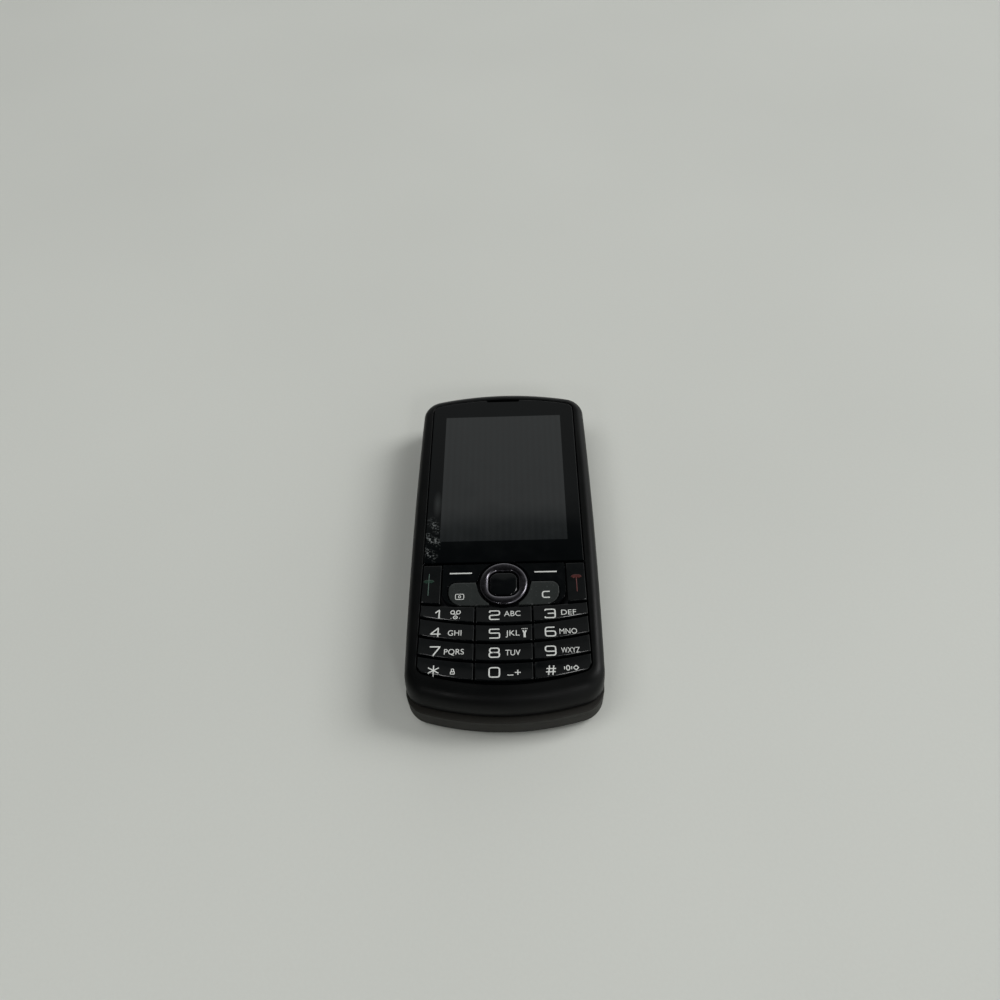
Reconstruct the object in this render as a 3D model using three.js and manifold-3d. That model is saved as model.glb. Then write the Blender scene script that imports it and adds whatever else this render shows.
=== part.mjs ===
// A slider phone, built as the real one comes apart on a bench. Its display half, with the number pad,
// slides to the right over its base half, with the letter pad.
// Millimetres. +X is to the right of the screen, +Y towards the earpiece and +Z out of the screen.
// The origin is on the plane that the phone lies on, under the middle of the base half.
import * as THREE from "three";
import { mergeVertices } from "three/addons/utils/BufferGeometryUtils.js";
import Module from "manifold-3d";

const wasm = await Module();
wasm.setup();

// Sizes that all pieces share
const clearance = 0.3; // between neighbouring pieces
const overrun = 2; // how far a cut runs past what it cuts
const leastRound = 0.2; // the smallest corner that an outline keeps
const straightBow = 4000; // the bow of an edge that looks straight
const cornerSteps = 4;
const bowSteps = 6;
const sideSteps = 4;
const roundSteps = 3;
const chinSteps = 5;
const circleSteps = 20;

// Display half, from the screen outwards
const display = {
  activeWidth: 36.72,
  activeHeight: 48.96,
  sideFrame: 2.9,
  topFrame: 2.4,
  bottomFrame: 4.4,
  thickness: 1.8,
  corner: 0.8,
};
const glass = {
  sideBorder: 4.45,
  topBorder: 8,
  bottomBorder: 7.6,
  thickness: 1.2,
  corner: 3,
  bow: 90,
  lowerCorner: 0.5,
};
const bezel = {
  rim: 3.7,
  topRim: 3,
  chinDepth: 5.7,
  chinFlat: 0.6,
  wall: 1.5,
  mask: 0.9,
  maskBorder: 0.8,
  edgeRound: 2.6,
  seamChamfer: 0.3,
  sideBow: 0.8,
  corner: 6.5,
  topBow: 95,
  chinBow: 80,
};
const earpiece = { width: 12, height: 4.6, thickness: 1.8, corner: 1.5 };
const earSlot = { width: 10.6, height: 1.3, corner: 0.5, mesh: 0.4, soundWidth: 7, soundHeight: 0.6 };

// Number pad and navigation keys
const pad = {
  rows: 4,
  pitch: 5.45,
  middleColumn: 15.4,
  gap: 0.45,
  topBow: 245,
  rowBow: 105,
  lastBow: 80,
  bottomMargin: 1.1,
  pocketBow: 68,
  pocketCorner: 3,
  bevel: 0.25,
  upperDrop: 0.15,
  ridge: 0.35,
  travel: 0.3,
  travelMargin: 0.05,
};
const keypadBoard = { thickness: 0.6, corner: 1 };
const domes = { sheet: 0.15, rise: 0.3, radius: 2, crown: 0.9, steps: 8 };
const mat = { thickness: 0.6 };
const navigation = {
  height: 14,
  ringRadius: 6.7,
  groove: 0.7,
  ringEdge: 0.5,
  ringRise: 0.6,
  crown: 2.1,
  dish: 0.35,
};
const plunger = { radius: 6.2, thickness: 0.4 };
const centreKey = { width: 7.6, height: 7.2, corner: 2.2, rise: 0.35 };
const sendKey = { width: 5.1 };
const cluster = { corner: 2.2, leg: 1.5, softShare: 0.44, cameraCorner: 3.2, cameraRise: 0.2, foot: 0.35 };

// Slide between the halves
const slide = { travel: 27, gap: 0.3 };
const backCover = { thickness: 1.1, windowCorner: 1, windowGap: 0.9 };
const movingPlate = { halfWidth: 22.5, thickness: 0.5, channelWall: 0.5, hook: 0.4, corner: 2 };
const fixedPlate = { thickness: 0.6, endMargin: 2.5, sideMargin: 1, corner: 2, railInset: 2 };
const rail = { y: 30, web: 0.6, lip: 0.7, lipThickness: 0.4 };
const spring = {
  wire: 0.6,
  eye: 1.2,
  apexRadius: 3,
  baseX: 13,
  baseY: 2,
  movingX: 0.5,
  movingY: 14,
  apexX: -9,
  apexY: 6,
};
const stud = { radius: 0.55, rise: 0.9 };
const flex = { y: -14, width: 8, thickness: 0.15, turnX: 9, frontX: -9, slotWidth: 0.8, legRise: 1.1 };

// Base half, from the back upwards
const base = {
  bottomLedge: 1.6,
  topLedge: 0.6,
  edgeRound: 2.5,
  seamChamfer: 0.3,
  wall: 1.5,
  corner: 6.8,
  topBow: 95,
  bottomBow: 80,
};
const cover = { thickness: 1, wall: 1.2, depth: 2.2 };
const battery = { width: 34, length: 50, thickness: 3.8, corner: 1.2 };
const contacts = { width: 12, length: 2, thickness: 2 };
const housing = { floor: 0.5, rib: 1.2, shelf: 0.6, bossRadius: 2.3, pocketCorner: 1.5 };
const cardSocket = { width: 15, length: 12.4, thickness: 1.6, fromEnd: 3.4, floor: 0.35, slot: 0.8 };
const simHolder = { width: 18, length: 14, thickness: 1.5, floor: 0.4, slot: 0.8, wall: 0.8 };
const speaker = {
  width: 15,
  height: 9,
  thickness: 2.8,
  corner: 2,
  fromMiddle: 5.5,
  slots: 4,
  slotWidth: 0.8,
  slotLength: 5,
  pitch: 2,
};
const motor = { radius: 1.9, length: 11, fromBottom: 24 };
const cameraModule = {
  width: 8.5,
  thickness: 3.9,
  barrelRadius: 2.6,
  barrel: 0.5,
  fromEnd: 8.2,
  corner: 0.6,
};
const cameraWindow = { radius: 4.2, thickness: 0.6, seat: 0.7, recess: 0.2 };
const headset = { width: 6.5, length: 11, thickness: 4, hole: 1.3, depth: 8 };
const charge = { width: 7.5, length: 5.5, thickness: 2.6, wall: 0.4, depth: 4.5 };
const sockets = { fromMiddle: 8, rise: 0.4, skin: 0.5 };
const microphone = { radius: 2, thickness: 1.4, fromEnd: 6 };
const antenna = { width: 22, height: 3.4, thickness: 0.5, slit: 0.6, slits: 4, fromEnd: 6.6 };
const mainBoard = { thickness: 0.5, tabLength: 5 };
const shield = { width: 20, length: 12, height: 1.4, skin: 0.3, corner: 0.8 };
const letterPad = {
  length: 93,
  lip: 0.6,
  sideMargin: 2.5,
  edgeMargin: 1.1,
  sheet: 0.2,
  rows: 4,
  columns: 11,
  gap: 0.7,
  slope: 0.3,
  drop: 0.05,
  corner: 2,
  border: 0.4,
};
const deck = { plate: 0.5, web: 1.5, tabGap: 0.9 };
const screw = {
  headRadius: 1.6,
  head: 0.8,
  shaftRadius: 0.8,
  driverSides: 6,
  fromSide: 7.5,
  fromEnd: 5.9,
  grip: 0.9,
  recess: 0.5,
};
const rocker = {
  length: 14,
  height: 1.8,
  proud: 0.55,
  flange: 0.5,
  flangeGrip: 0.7,
  fromTop: 22.3,
  play: 0.4,
  corner: 0.8,
};

// The phone's half width: the window with its rim, or the battery with the motor beside it
const glassHalfWidth = display.activeWidth / 2 + glass.sideBorder;
const batteryWall = battery.width / 2 + clearance + housing.rib;
const motorNeeds = motor.radius * 2 + clearance * 2;
const halfWidth = Math.max(
  glassHalfWidth + bezel.rim,
  batteryWall + motorNeeds + base.wall + bezel.sideBow,
);

// Lengths in the base half, from its bottom end
const cardEnd = cardSocket.fromEnd + cardSocket.length;
const batteryFrom = cardEnd + clearance + housing.rib + clearance;
const batteryEnd = batteryFrom + battery.length;
const contactsEnd = batteryEnd + clearance + contacts.length;
const simFrom = contactsEnd + clearance + clearance;
const simEnd = simFrom + simHolder.length;
const coverLength = simEnd + clearance + cover.wall;
const topBayFrom = coverLength + clearance + housing.rib;

// What the top bay and the letter pad need, where the bowed end falls away from its middle
const endFall = (x) => base.topBow - Math.sqrt(base.topBow ** 2 - x ** 2);
const socketFall = endFall(sockets.fromMiddle + headset.width);
const topBayNeeds = Math.max(
  speaker.height + headset.length + clearance * 3 + base.wall + socketFall,
  cameraModule.fromEnd + cameraModule.width + clearance,
);
const screwNeeds = deck.web + clearance + screw.shaftRadius + screw.fromEnd;
const letterNeeds = letterPad.length + (letterPad.lip + screwNeeds) * 2;

// Places along the phone, from the base half's bottom end
const glassHeight = glass.bottomBorder + display.activeHeight + glass.topBorder;
const padHeight = pad.bottomMargin + pad.rows * pad.pitch + navigation.height;
const frontLength = bezel.chinDepth + padHeight + glassHeight + bezel.topRim;
const baseLength = Math.max(
  base.bottomLedge + frontLength + base.topLedge,
  topBayFrom + topBayNeeds,
  letterNeeds,
);
const baseBottom = -baseLength / 2;
const baseTop = baseLength / 2;
const frontBottom = baseBottom + base.bottomLedge;
const frontTop = baseTop - base.topLedge;
const padBottom = frontBottom + bezel.chinDepth;
const rowsBottom = padBottom + pad.bottomMargin;
const rowsTop = rowsBottom + pad.rows * pad.pitch;
const padTop = padBottom + padHeight;
const glassTop = padTop + glassHeight;
const activeBottom = padTop + glass.bottomBorder;
const activeTop = activeBottom + display.activeHeight;
const displayBottom = activeBottom - display.bottomFrame;
const displayTop = activeTop + display.topFrame;
const displayHalfWidth = display.activeWidth / 2 + display.sideFrame;
const ringY = padTop - navigation.height / 2;
const grooveRadius = navigation.ringRadius + navigation.groove;
const clusterHalfWidth = glassHalfWidth - clearance - sendKey.width - pad.gap;

// Heights in the base half, from the back upwards
const batteryBase = cover.thickness + clearance;
const bayCeiling = batteryBase + battery.thickness + clearance;
const housingTop = bayCeiling + housing.floor;
const housingSeam = cover.depth + clearance;
const deckBase = housingTop + clearance;
const boardTop = deckBase + mainBoard.thickness;
const letterBase = boardTop + clearance;
const letterSheetTop = letterBase + letterPad.sheet;
const deckPlateBase = letterSheetTop + clearance;
const deckTop = deckPlateBase + deck.plate;
const fixedPlateBase = deckTop - fixedPlate.thickness;
const cardBase = batteryBase;
const shelfBase = cardBase + Math.max(cardSocket.thickness, simHolder.thickness) + clearance;
const shelfTop = shelfBase + housing.shelf;

// Heights in the display half
const frontBase = deckTop + slide.gap;
const backCoverTop = frontBase + backCover.thickness;
const movingPlateBase = backCoverTop + clearance;
const frontInside = movingPlateBase + movingPlate.thickness + clearance;
const maskBase = frontInside + Math.max(display.thickness, earpiece.thickness) + clearance;
const maskTop = maskBase + bezel.mask;
const glassBase = maskTop + clearance;
const faceTop = glassBase + glass.thickness;
const keypadBoardTop = frontInside + keypadBoard.thickness;
const domeSheetBase = keypadBoardTop + clearance;
const domeTop = domeSheetBase + domes.sheet + domes.rise;
const matBase = domeTop + clearance;
const matTop = matBase + mat.thickness;
const keyBase = matTop + pad.travel + pad.travelMargin;
const ringBase = keyBase + plunger.thickness + clearance;

// Places in the base half, along the phone
const cardBottom = baseBottom + cardSocket.fromEnd;
const cardTop = baseBottom + cardEnd;
const batteryBottom = baseBottom + batteryFrom;
const batteryTop = baseBottom + batteryEnd;
const contactsTop = baseBottom + contactsEnd;
const simBottom = baseBottom + simFrom;
const simTop = baseBottom + simEnd;
const coverEnd = baseBottom + coverLength;
const topBayBottom = baseBottom + topBayFrom;
const screwX = halfWidth - screw.fromSide;
const screwTopY = baseTop - screw.fromEnd;
const screwBottomY = baseBottom + screw.fromEnd;
const rockerY = baseTop - rocker.fromTop;

// Places in the base half, across the phone
const openEdge = -halfWidth + slide.travel;
const letterLeft = -halfWidth + letterPad.sideMargin;
const letterRight = openEdge - letterPad.edgeMargin;
const bayLeft = letterLeft - letterPad.lip;
const bayRight = letterRight + letterPad.lip;
const fixedPlateLeft = bayRight + deck.web + clearance;
const fixedPlateRight = halfWidth - base.wall - fixedPlate.sideMargin;
const fixedPlateHalfLength = rail.y + rail.web + rail.lip + fixedPlate.endMargin;
const railLeft = fixedPlateLeft + fixedPlate.railInset;
const railRight = fixedPlateRight - fixedPlate.railInset;
const slotLeft = railLeft - slide.travel - clearance;
const slotRight = Math.max(movingPlate.halfWidth, railRight) + clearance;
const slotInside = rail.y - rail.web / 2 - clearance;
const lipOutside = rail.y + rail.web / 2 + rail.lip;
const channelOutside = lipOutside + clearance + movingPlate.channelWall;
const lipBase = frontBase + movingPlate.hook + clearance;
const flexSlot = fixedPlateLeft + fixedPlate.railInset;

// A closed solid from a three.js geometry
function solidOf(geometry) {
  const bare = geometry.index ? geometry.toNonIndexed() : geometry.clone();
  bare.deleteAttribute("normal");
  bare.deleteAttribute("uv");
  const merged = mergeVertices(bare);
  return new wasm.Manifold(
    new wasm.Mesh({
      numProp: 3,
      vertProperties: merged.attributes.position.array,
      triVerts: new Uint32Array(merged.index.array),
    }),
  );
}

// A three.js geometry from a closed solid
function geometryOf(solid) {
  const { vertProperties, triVerts } = solid.getMesh();
  const geometry = new THREE.BufferGeometry();
  geometry.setAttribute("position", new THREE.BufferAttribute(vertProperties, 3));
  geometry.setIndex(new THREE.BufferAttribute(triVerts, 1));
  geometry.computeVertexNormals();
  return geometry;
}

// A block between two places on each axis
function block([x0, x1], [y0, y1], [z0, z1]) {
  const box = new THREE.BoxGeometry(x1 - x0, y1 - y0, z1 - z0);
  box.translate((x0 + x1) / 2, (y0 + y1) / 2, (z0 + z1) / 2);
  return solidOf(box);
}

// An upright cylinder
function cylinder(x, y, radius, [z0, z1], steps = circleSteps) {
  const drum = new THREE.CylinderGeometry(radius, radius, z1 - z0, steps);
  drum.rotateX(Math.PI / 2);
  drum.translate(x, y, (z0 + z1) / 2);
  return solidOf(drum);
}

// A solid through stacked rings of points, which run counter-clockwise and have as many points each
function loft(rings) {
  const count = rings[0].length;
  const faces = [];
  for (let level = 1; level < rings.length; level++)
    for (let i = 0; i < count; i++) {
      const next = (i + 1) % count;
      const low = (level - 1) * count;
      const high = level * count;
      faces.push(low + i, low + next, high + next, low + i, high + next, high + i);
    }
  const flat = (ring) => ring.map(([x, y]) => new THREE.Vector2(x, y));
  const roof = (rings.length - 1) * count;
  for (const [a, b, c] of THREE.ShapeUtils.triangulateShape(flat(rings[0]), [])) faces.push(c, b, a);
  for (const [a, b, c] of THREE.ShapeUtils.triangulateShape(flat(rings.at(-1)), []))
    faces.push(roof + a, roof + b, roof + c);
  const geometry = new THREE.BufferGeometry();
  geometry.setAttribute("position", new THREE.BufferAttribute(new Float32Array(rings.flat(2)), 3));
  geometry.setIndex(faces);
  return solidOf(geometry);
}

const atHeight = (points, z) => points.map(([x, y]) => [x, y, z]);
const prism = (points, [z0, z1]) => loft([atHeight(points, z0), atHeight(points, z1)]);
const spread = (steps) => Array.from({ length: steps + 1 }, (_, i) => i / steps);
const middleOf = ([from, to]) => (from + to) / 2;
const onSide = (side, from, to) => (side > 0 ? [from, to] : [-to, -from]);
const joined = (solids) => solids.reduce((sum, solid) => sum.add(solid));

// The points of an arc round a centre, between two angles
function arc(x, y, radius, from, to, steps) {
  return spread(steps).map((share) => {
    const angle = from + (to - from) * share;
    return [x + radius * Math.cos(angle), y + radius * Math.sin(angle)];
  });
}

// The upper end of an outline, from right to left: a corner, a bowed edge and a corner
function endCurve(reachWidth, { y, bow, corner }) {
  const cornerX = reachWidth - corner;
  const bowY = y - bow;
  const cornerY = bowY + Math.sqrt((bow - corner) ** 2 - cornerX ** 2);
  const lean = Math.acos(cornerX / (bow - corner));
  const right = arc(cornerX, cornerY, corner, 0, lean, cornerSteps);
  const edge = arc(0, bowY, bow, lean, Math.PI - lean, bowSteps);
  const left = right.map(([x, height]) => [-x, height]).reverse();
  return [...right, ...edge.slice(1, -1), ...left];
}

// A closed outline, counter-clockwise: two bowed ends, round corners and sides that may bow a little
function outline({ width, top, bottom, sideBow = 0 }) {
  const mirrored = ([x, y]) => [x, -y];
  const upper = endCurve(width, top);
  const lower = endCurve(width, { ...bottom, y: -bottom.y }).map(mirrored).reverse();
  const from = lower.at(-1)[1];
  const to = upper[0][1];
  const right = spread(sideSteps).slice(1, -1).map((share) => [width, from + (to - from) * share]);
  const left = right.map(([x, y]) => [-x, y]).reverse();
  const middle = (top.y + bottom.y) / 2;
  const reach = (top.y - bottom.y) / 2;
  const bowed = ([x, y]) => [x * (1 - (sideBow / width) * ((y - middle) / reach) ** 2), y];
  return [...upper, ...left, ...lower, ...right].map(bowed);
}

// The same shape, drawn in at its sides, its top and its bottom
function drawnIn(shape, side, top = side, bottom = side) {
  const end = ({ y, bow, corner }, by, shift) => ({
    y: y + shift,
    bow: bow - by,
    corner: Math.max(corner - side, leastRound),
  });
  return {
    ...shape,
    width: shape.width - side,
    top: end(shape.top, top, -top),
    bottom: end(shape.bottom, bottom, bottom),
  };
}

// A rectangle with round corners, counter-clockwise
function roundedBox([x0, x1], [y0, y1], corner) {
  const quarter = Math.PI / 2;
  const corners = [
    [x1 - corner, y1 - corner],
    [x0 + corner, y1 - corner],
    [x0 + corner, y0 + corner],
    [x1 - corner, y0 + corner],
  ];
  return corners.flatMap(([x, y], i) => arc(x, y, corner, i * quarter, (i + 1) * quarter, roundSteps));
}

const square = ([x0, x1], [y0, y1]) => [
  [x0, y0],
  [x1, y0],
  [x1, y1],
  [x0, y1],
];
const plate = (xs, ys, zs, corner) => prism(roundedBox(xs, ys, corner), zs);
const around = (middle, size) => [middle - size / 2, middle + size / 2];
const widened = ([from, to], by) => [from - by, to + by];

// How far a round edge is drawn in at a distance along it, up to its radius
const roundOff = (radius, along) => radius - Math.sqrt(radius ** 2 - Math.min(along, radius) ** 2);
const quarterShares = (steps) => spread(steps).map((share) => Math.sin((share * Math.PI) / 2));

// Base half's outside: a round edge at the back and a chamfer at the seam
const baseShape = {
  width: halfWidth,
  top: { y: baseTop, bow: base.topBow, corner: base.corner },
  bottom: { y: baseBottom, bow: base.bottomBow, corner: base.corner },
  sideBow: bezel.sideBow,
};

function baseRing(z, extra = 0) {
  const roundIn = roundOff(base.edgeRound, Math.max(base.edgeRound - z, 0));
  const chamferIn = Math.max(z - (deckTop - base.seamChamfer), 0);
  return atHeight(outline(drawnIn(baseShape, roundIn + chamferIn + extra)), z);
}

// The part of the base half's outside between two heights
function baseBody([z0, z1]) {
  const rounded = quarterShares(roundSteps).map((share) => base.edgeRound * (1 - share));
  const levels = [...rounded, deckTop - base.seamChamfer].filter((z) => z > z0 && z < z1);
  return loft([z0, ...levels.sort((a, b) => a - b), z1].map((z) => baseRing(z)));
}

// The space inside the base half's wall
const insideBase = (inset, zs) => prism(outline(drawnIn(baseShape, inset)), zs);

// Display half's outside: a round edge at the face, a sloping chin and a chamfer at the seam
const frontShape = {
  width: halfWidth,
  top: { y: frontTop, bow: bezel.topBow, corner: bezel.corner },
  bottom: { y: frontBottom, bow: bezel.chinBow, corner: bezel.corner },
  sideBow: bezel.sideBow,
};
const chinBase = frontBase + bezel.seamChamfer;
const chinRise = faceTop - chinBase;
const chinSlope = bezel.chinDepth - bezel.chinFlat;

function frontRing(z, extra = 0) {
  const chamferIn = Math.max(chinBase - z, 0);
  const side = roundOff(bezel.edgeRound, Math.max(z - (faceTop - bezel.edgeRound), 0)) + chamferIn;
  const share = Math.min(Math.max(z - chinBase, 0) / chinRise, 1);
  const chin = chinSlope * (1 - Math.sqrt(1 - share ** 2)) + chamferIn;
  const shape = drawnIn(frontShape, side + extra, side + extra, Math.max(side, chin) + extra);
  return atHeight(outline(shape), z);
}

function frontBody() {
  const chinLevels = quarterShares(chinSteps).map((share) => chinBase + chinRise * share);
  const sideLevels = quarterShares(roundSteps).map((share) => faceTop - bezel.edgeRound * (1 - share));
  const levels = [...chinLevels, ...sideLevels].filter((z) => z < faceTop - leastRound / 2);
  levels.sort((a, b) => a - b);
  return loft([frontBase, ...levels, faceTop].map((z) => frontRing(z)));
}

// The keypad's opening in the bezel, and the window's recess above it
const pocketShape = {
  width: glassHalfWidth,
  top: { y: padTop, bow: straightBow, corner: glass.lowerCorner },
  bottom: { y: padBottom, bow: pad.pocketBow, corner: pad.pocketCorner },
};
const glassShape = {
  width: glassHalfWidth,
  top: { y: glassTop, bow: glass.bow, corner: glass.corner },
  bottom: { y: padTop, bow: straightBow, corner: glass.lowerCorner },
};

// Earpiece slot: a notch in the window's upper edge, over a narrower sound hole in the mask
const slotY = [glassTop - earSlot.height, glassTop];

function makeBezel() {
  const cavityLevels = [frontBase - overrun, chinBase, (chinBase + maskBase) / 2, maskBase];
  const cavity = loft(cavityLevels.map((z) => atHeight(frontRing(Math.max(z, chinBase), bezel.wall), z)));
  const recess = prism(outline(glassShape), [maskTop, faceTop + overrun]);
  const keypad = prism(outline(pocketShape), [maskBase - overrun, faceTop + overrun]);
  const seam = block(
    around(0, glassHalfWidth * 2 - glass.lowerCorner * 2),
    around(padTop, glass.lowerCorner * 2),
    [maskTop, faceTop + overrun],
  );
  const border = bezel.maskBorder;
  const aperture = block(
    around(0, display.activeWidth + border * 2),
    [activeBottom - border, activeTop + border],
    [maskBase - overrun, maskTop + overrun],
  );
  const sound = block(
    around(0, earSlot.soundWidth),
    around(middleOf(slotY), earSlot.soundHeight),
    [maskBase - overrun, maskTop + overrun],
  );
  return frontBody().subtract(joined([cavity, recess, keypad, seam, aperture, sound]));
}

function makeWindow() {
  const heights = [glassBase - overrun, faceTop + overrun];
  const notch = plate(around(0, earSlot.width), [slotY[0], glassTop + overrun], heights, earSlot.corner);
  return prism(outline(drawnIn(glassShape, clearance)), [glassBase, faceTop]).subtract(notch);
}

function makeEarMesh() {
  const inside = outline(drawnIn(glassShape, clearance));
  const low = slotY[0] + clearance;
  return prism(inside, [glassBase, glassBase + earSlot.mesh])
    .intersect(
      block(around(0, earSlot.width - clearance * 2), [low, glassTop + overrun], [maskTop, faceTop]),
    );
}

const makeDisplay = () =>
  plate(
    around(0, displayHalfWidth * 2),
    [displayBottom, displayTop],
    [frontInside, frontInside + display.thickness],
    display.corner,
  );

const makeEarpiece = () =>
  plate(
    around(0, earpiece.width),
    [displayTop + clearance, displayTop + clearance + earpiece.height],
    [frontInside, frontInside + earpiece.thickness],
    earpiece.corner,
  );

// Number pad: the arcs between its rows, lowest on the middle line
function rowLine(index) {
  const bow = index === 0 ? pad.topBow : index === pad.rows ? pad.lastBow : pad.rowBow;
  return (x) => rowsTop - index * pad.pitch + x ** 2 / (2 * bow);
}

const splitX = pad.middleColumn / 2;
const edgeX = glassHalfWidth - clearance;
const columns = [
  [-edgeX, -splitX - pad.gap / 2],
  [-splitX + pad.gap / 2, splitX - pad.gap / 2],
  [splitX + pad.gap / 2, edgeX],
];

// A patch of the keypad between two columns' edges and two lines, drawn in all round
function patch([x0, x1], lower, upper, inset) {
  const xs = spread(sideSteps).map((share) => x0 + inset + (x1 - x0 - inset * 2) * share);
  const along = xs.map((x) => [x, lower(x) + inset]);
  const back = xs.map((x) => [x, upper(x) - inset]).reverse();
  return [...along, ...back];
}

// A key whose top rises from its upper edge to a ridge at its lower edge
function slopedKey(xs, lower, upper) {
  const top = ([x, y]) => {
    const share = (upper(x) - y) / (upper(x) - lower(x));
    return faceTop - pad.upperDrop + (pad.ridge + pad.upperDrop) * share;
  };
  const foot = patch(xs, lower, upper, 0);
  const shoulder = foot.map((point) => [...point, top(point) - pad.bevel]);
  const face = patch(xs, lower, upper, pad.bevel).map((point) => [...point, top(point)]);
  return loft([atHeight(foot, keyBase), shoulder, face]);
}

const keyHeights = [keyBase - overrun, faceTop + overrun];
const pocketInside = () => prism(outline(drawnIn(pocketShape, clearance)), keyHeights);
const groove = () => cylinder(0, ringY, grooveRadius, keyHeights, circleSteps * 2);

function numberKey(row, column) {
  const upper = (x) => rowLine(row)(x) - pad.gap / 2;
  const lower = (x) => rowLine(row + 1)(x) + pad.gap / 2;
  return slopedKey(columns[column], lower, upper).intersect(pocketInside()).subtract(groove());
}

// Keys beside the navigation ring
const blockUpper = () => padTop - pad.gap;
const blockLower = (x) => rowLine(0)(x) + pad.gap / 2;
const softLine = () => padTop - navigation.height * cluster.softShare;

function callKey(side) {
  const inner = clusterHalfWidth + pad.gap;
  return slopedKey(onSide(side, inner, edgeX), blockLower, blockUpper).intersect(pocketInside());
}

const mirroredX = (points, side) => (side > 0 ? points : points.map(([x, y]) => [-x, y]).reverse());

// The right-hand cluster's outline, with a round corner at its lower outer end, drawn in all round
function clusterOutline(right, corner, upper, lower, left) {
  const low = lower(right - corner) + corner;
  const round = arc(right - corner, low, corner, -Math.PI / 2, 0, cornerSteps);
  return [[left, lower(left)], ...round, [right, upper()], [left, upper()]];
}

const cameraRight = clusterHalfWidth - cluster.leg;

function softKey(side) {
  const bevel = pad.bevel;
  const whole = (inset) =>
    mirroredX(
      clusterOutline(
        clusterHalfWidth - inset,
        cluster.corner - inset,
        () => blockUpper() - inset,
        (x) => blockLower(x) + inset,
        clearance,
      ),
      side,
    );
  const body = loft([
    atHeight(whole(0), keyBase),
    atHeight(whole(0), faceTop - bevel),
    atHeight(whole(bevel), faceTop),
  ]);
  const cameraSpace = prism(
    mirroredX(
      clusterOutline(cameraRight, cluster.cameraCorner, softLine, (x) => blockLower(x) + cluster.foot, 0),
      side,
    ),
    keyHeights,
  );
  const under = block(
    [-cameraRight + cluster.cameraCorner, cameraRight - cluster.cameraCorner],
    [rowsTop - overrun, softLine()],
    keyHeights,
  );
  return body.subtract(joined([cameraSpace, under, groove()]));
}

// The camera key and the clear key, which stand a little above the soft keys round them
function plateKey(side) {
  const shape = (inset) =>
    mirroredX(
      clusterOutline(
        cameraRight - clearance - inset,
        cluster.cameraCorner - clearance - inset,
        () => softLine() - clearance - inset,
        (x) => blockLower(x) + cluster.foot + clearance + inset,
        clearance,
      ),
      side,
    );
  const top = faceTop + cluster.cameraRise;
  return loft([
    atHeight(shape(0), keyBase),
    atHeight(shape(0), top - pad.bevel),
    atHeight(shape(pad.bevel), top),
  ]).subtract(groove());
}

// Navigation ring, its plunger plate and the centre key, drawn round their own middle
const centreOutline = (grow) =>
  roundedBox(
    around(0, centreKey.width + grow * 2),
    around(0, centreKey.height + grow * 2),
    centreKey.corner + grow,
  );

function makeRing() {
  const { ringRadius, ringEdge, ringRise, crown, dish } = navigation;
  const top = faceTop + ringRise;
  const profile = [
    [0, ringBase],
    [ringRadius, ringBase],
    [ringRadius, top - ringEdge * 2],
    [ringRadius - ringEdge / 2, top - ringEdge / 2],
    [ringRadius - ringEdge * 2, top],
    [ringRadius - crown, top - dish / 2],
    [0, top - dish],
  ];
  const lathe = new THREE.LatheGeometry(
    profile.map(([r, z]) => new THREE.Vector2(r, z)),
    circleSteps * 2,
  );
  lathe.rotateX(Math.PI / 2);
  return solidOf(lathe).subtract(prism(centreOutline(clearance), keyHeights));
}

const makePlunger = () =>
  cylinder(0, 0, plunger.radius, [keyBase, keyBase + plunger.thickness], circleSteps * 2)
    .subtract(prism(centreOutline(clearance), keyHeights));

function makeCentreKey() {
  const top = faceTop + centreKey.rise;
  return loft([
    atHeight(centreOutline(0), keyBase),
    atHeight(centreOutline(0), top - pad.bevel),
    atHeight(centreOutline(-pad.bevel), top),
  ]);
}

// Keypad mat, dome sheet and board, under the keys
const makeMat = () => prism(outline(drawnIn(pocketShape, clearance)), [matBase, matTop]);

function domePlaces() {
  const middles = columns.map(middleOf);
  const rows = middles.flatMap((x) =>
    Array.from({ length: pad.rows }, (_, row) => [x, (rowLine(row)(x) + rowLine(row + 1)(x)) / 2]),
  );
  const callX = edgeX - sendKey.width / 2;
  const plateX = (grooveRadius + cameraRight) / 2;
  const beside = [-1, 1].flatMap((side) => [
    [side * callX, ringY],
    [side * plateX, (padTop + softLine()) / 2],
    [side * plateX, (softLine() + rowsTop) / 2],
  ]);
  return [...rows, ...beside, [0, ringY]];
}

function makeDomes() {
  const foot = domeSheetBase + domes.sheet;
  const sheet = prism(outline(drawnIn(pocketShape, clearance)), [domeSheetBase, foot]);
  const bumps = domePlaces().map(([x, y]) => {
    const height = domes.rise + domes.sheet / 2;
    const bump = new THREE.CylinderGeometry(domes.crown, domes.radius, height, domes.steps);
    bump.rotateX(Math.PI / 2);
    bump.translate(x, y, foot + domes.rise / 2 - domes.sheet / 4);
    return solidOf(bump);
  });
  return joined([sheet, ...bumps]);
}

function makeKeypadBoard() {
  const shape = {
    width: displayHalfWidth,
    top: { y: displayBottom - clearance, bow: straightBow, corner: keypadBoard.corner },
    bottom: { y: padBottom + clearance, bow: pad.pocketBow, corner: pad.pocketCorner },
  };
  return prism(outline(shape), [frontInside, keypadBoardTop]);
}

// Back cover of the display half, with slots for the rails, the spring and the flex cable
const springY = widened([spring.baseY - spring.eye, spring.movingY + spring.eye], backCover.windowGap);
const springX = widened(
  [spring.baseX - slide.travel - spring.eye, spring.baseX + spring.eye],
  backCover.windowGap,
);
const flexY = around(flex.y, flex.width);
const flexWindowX = widened([flexSlot - slide.travel, flex.turnX + flex.legRise], backCover.windowGap);

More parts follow.
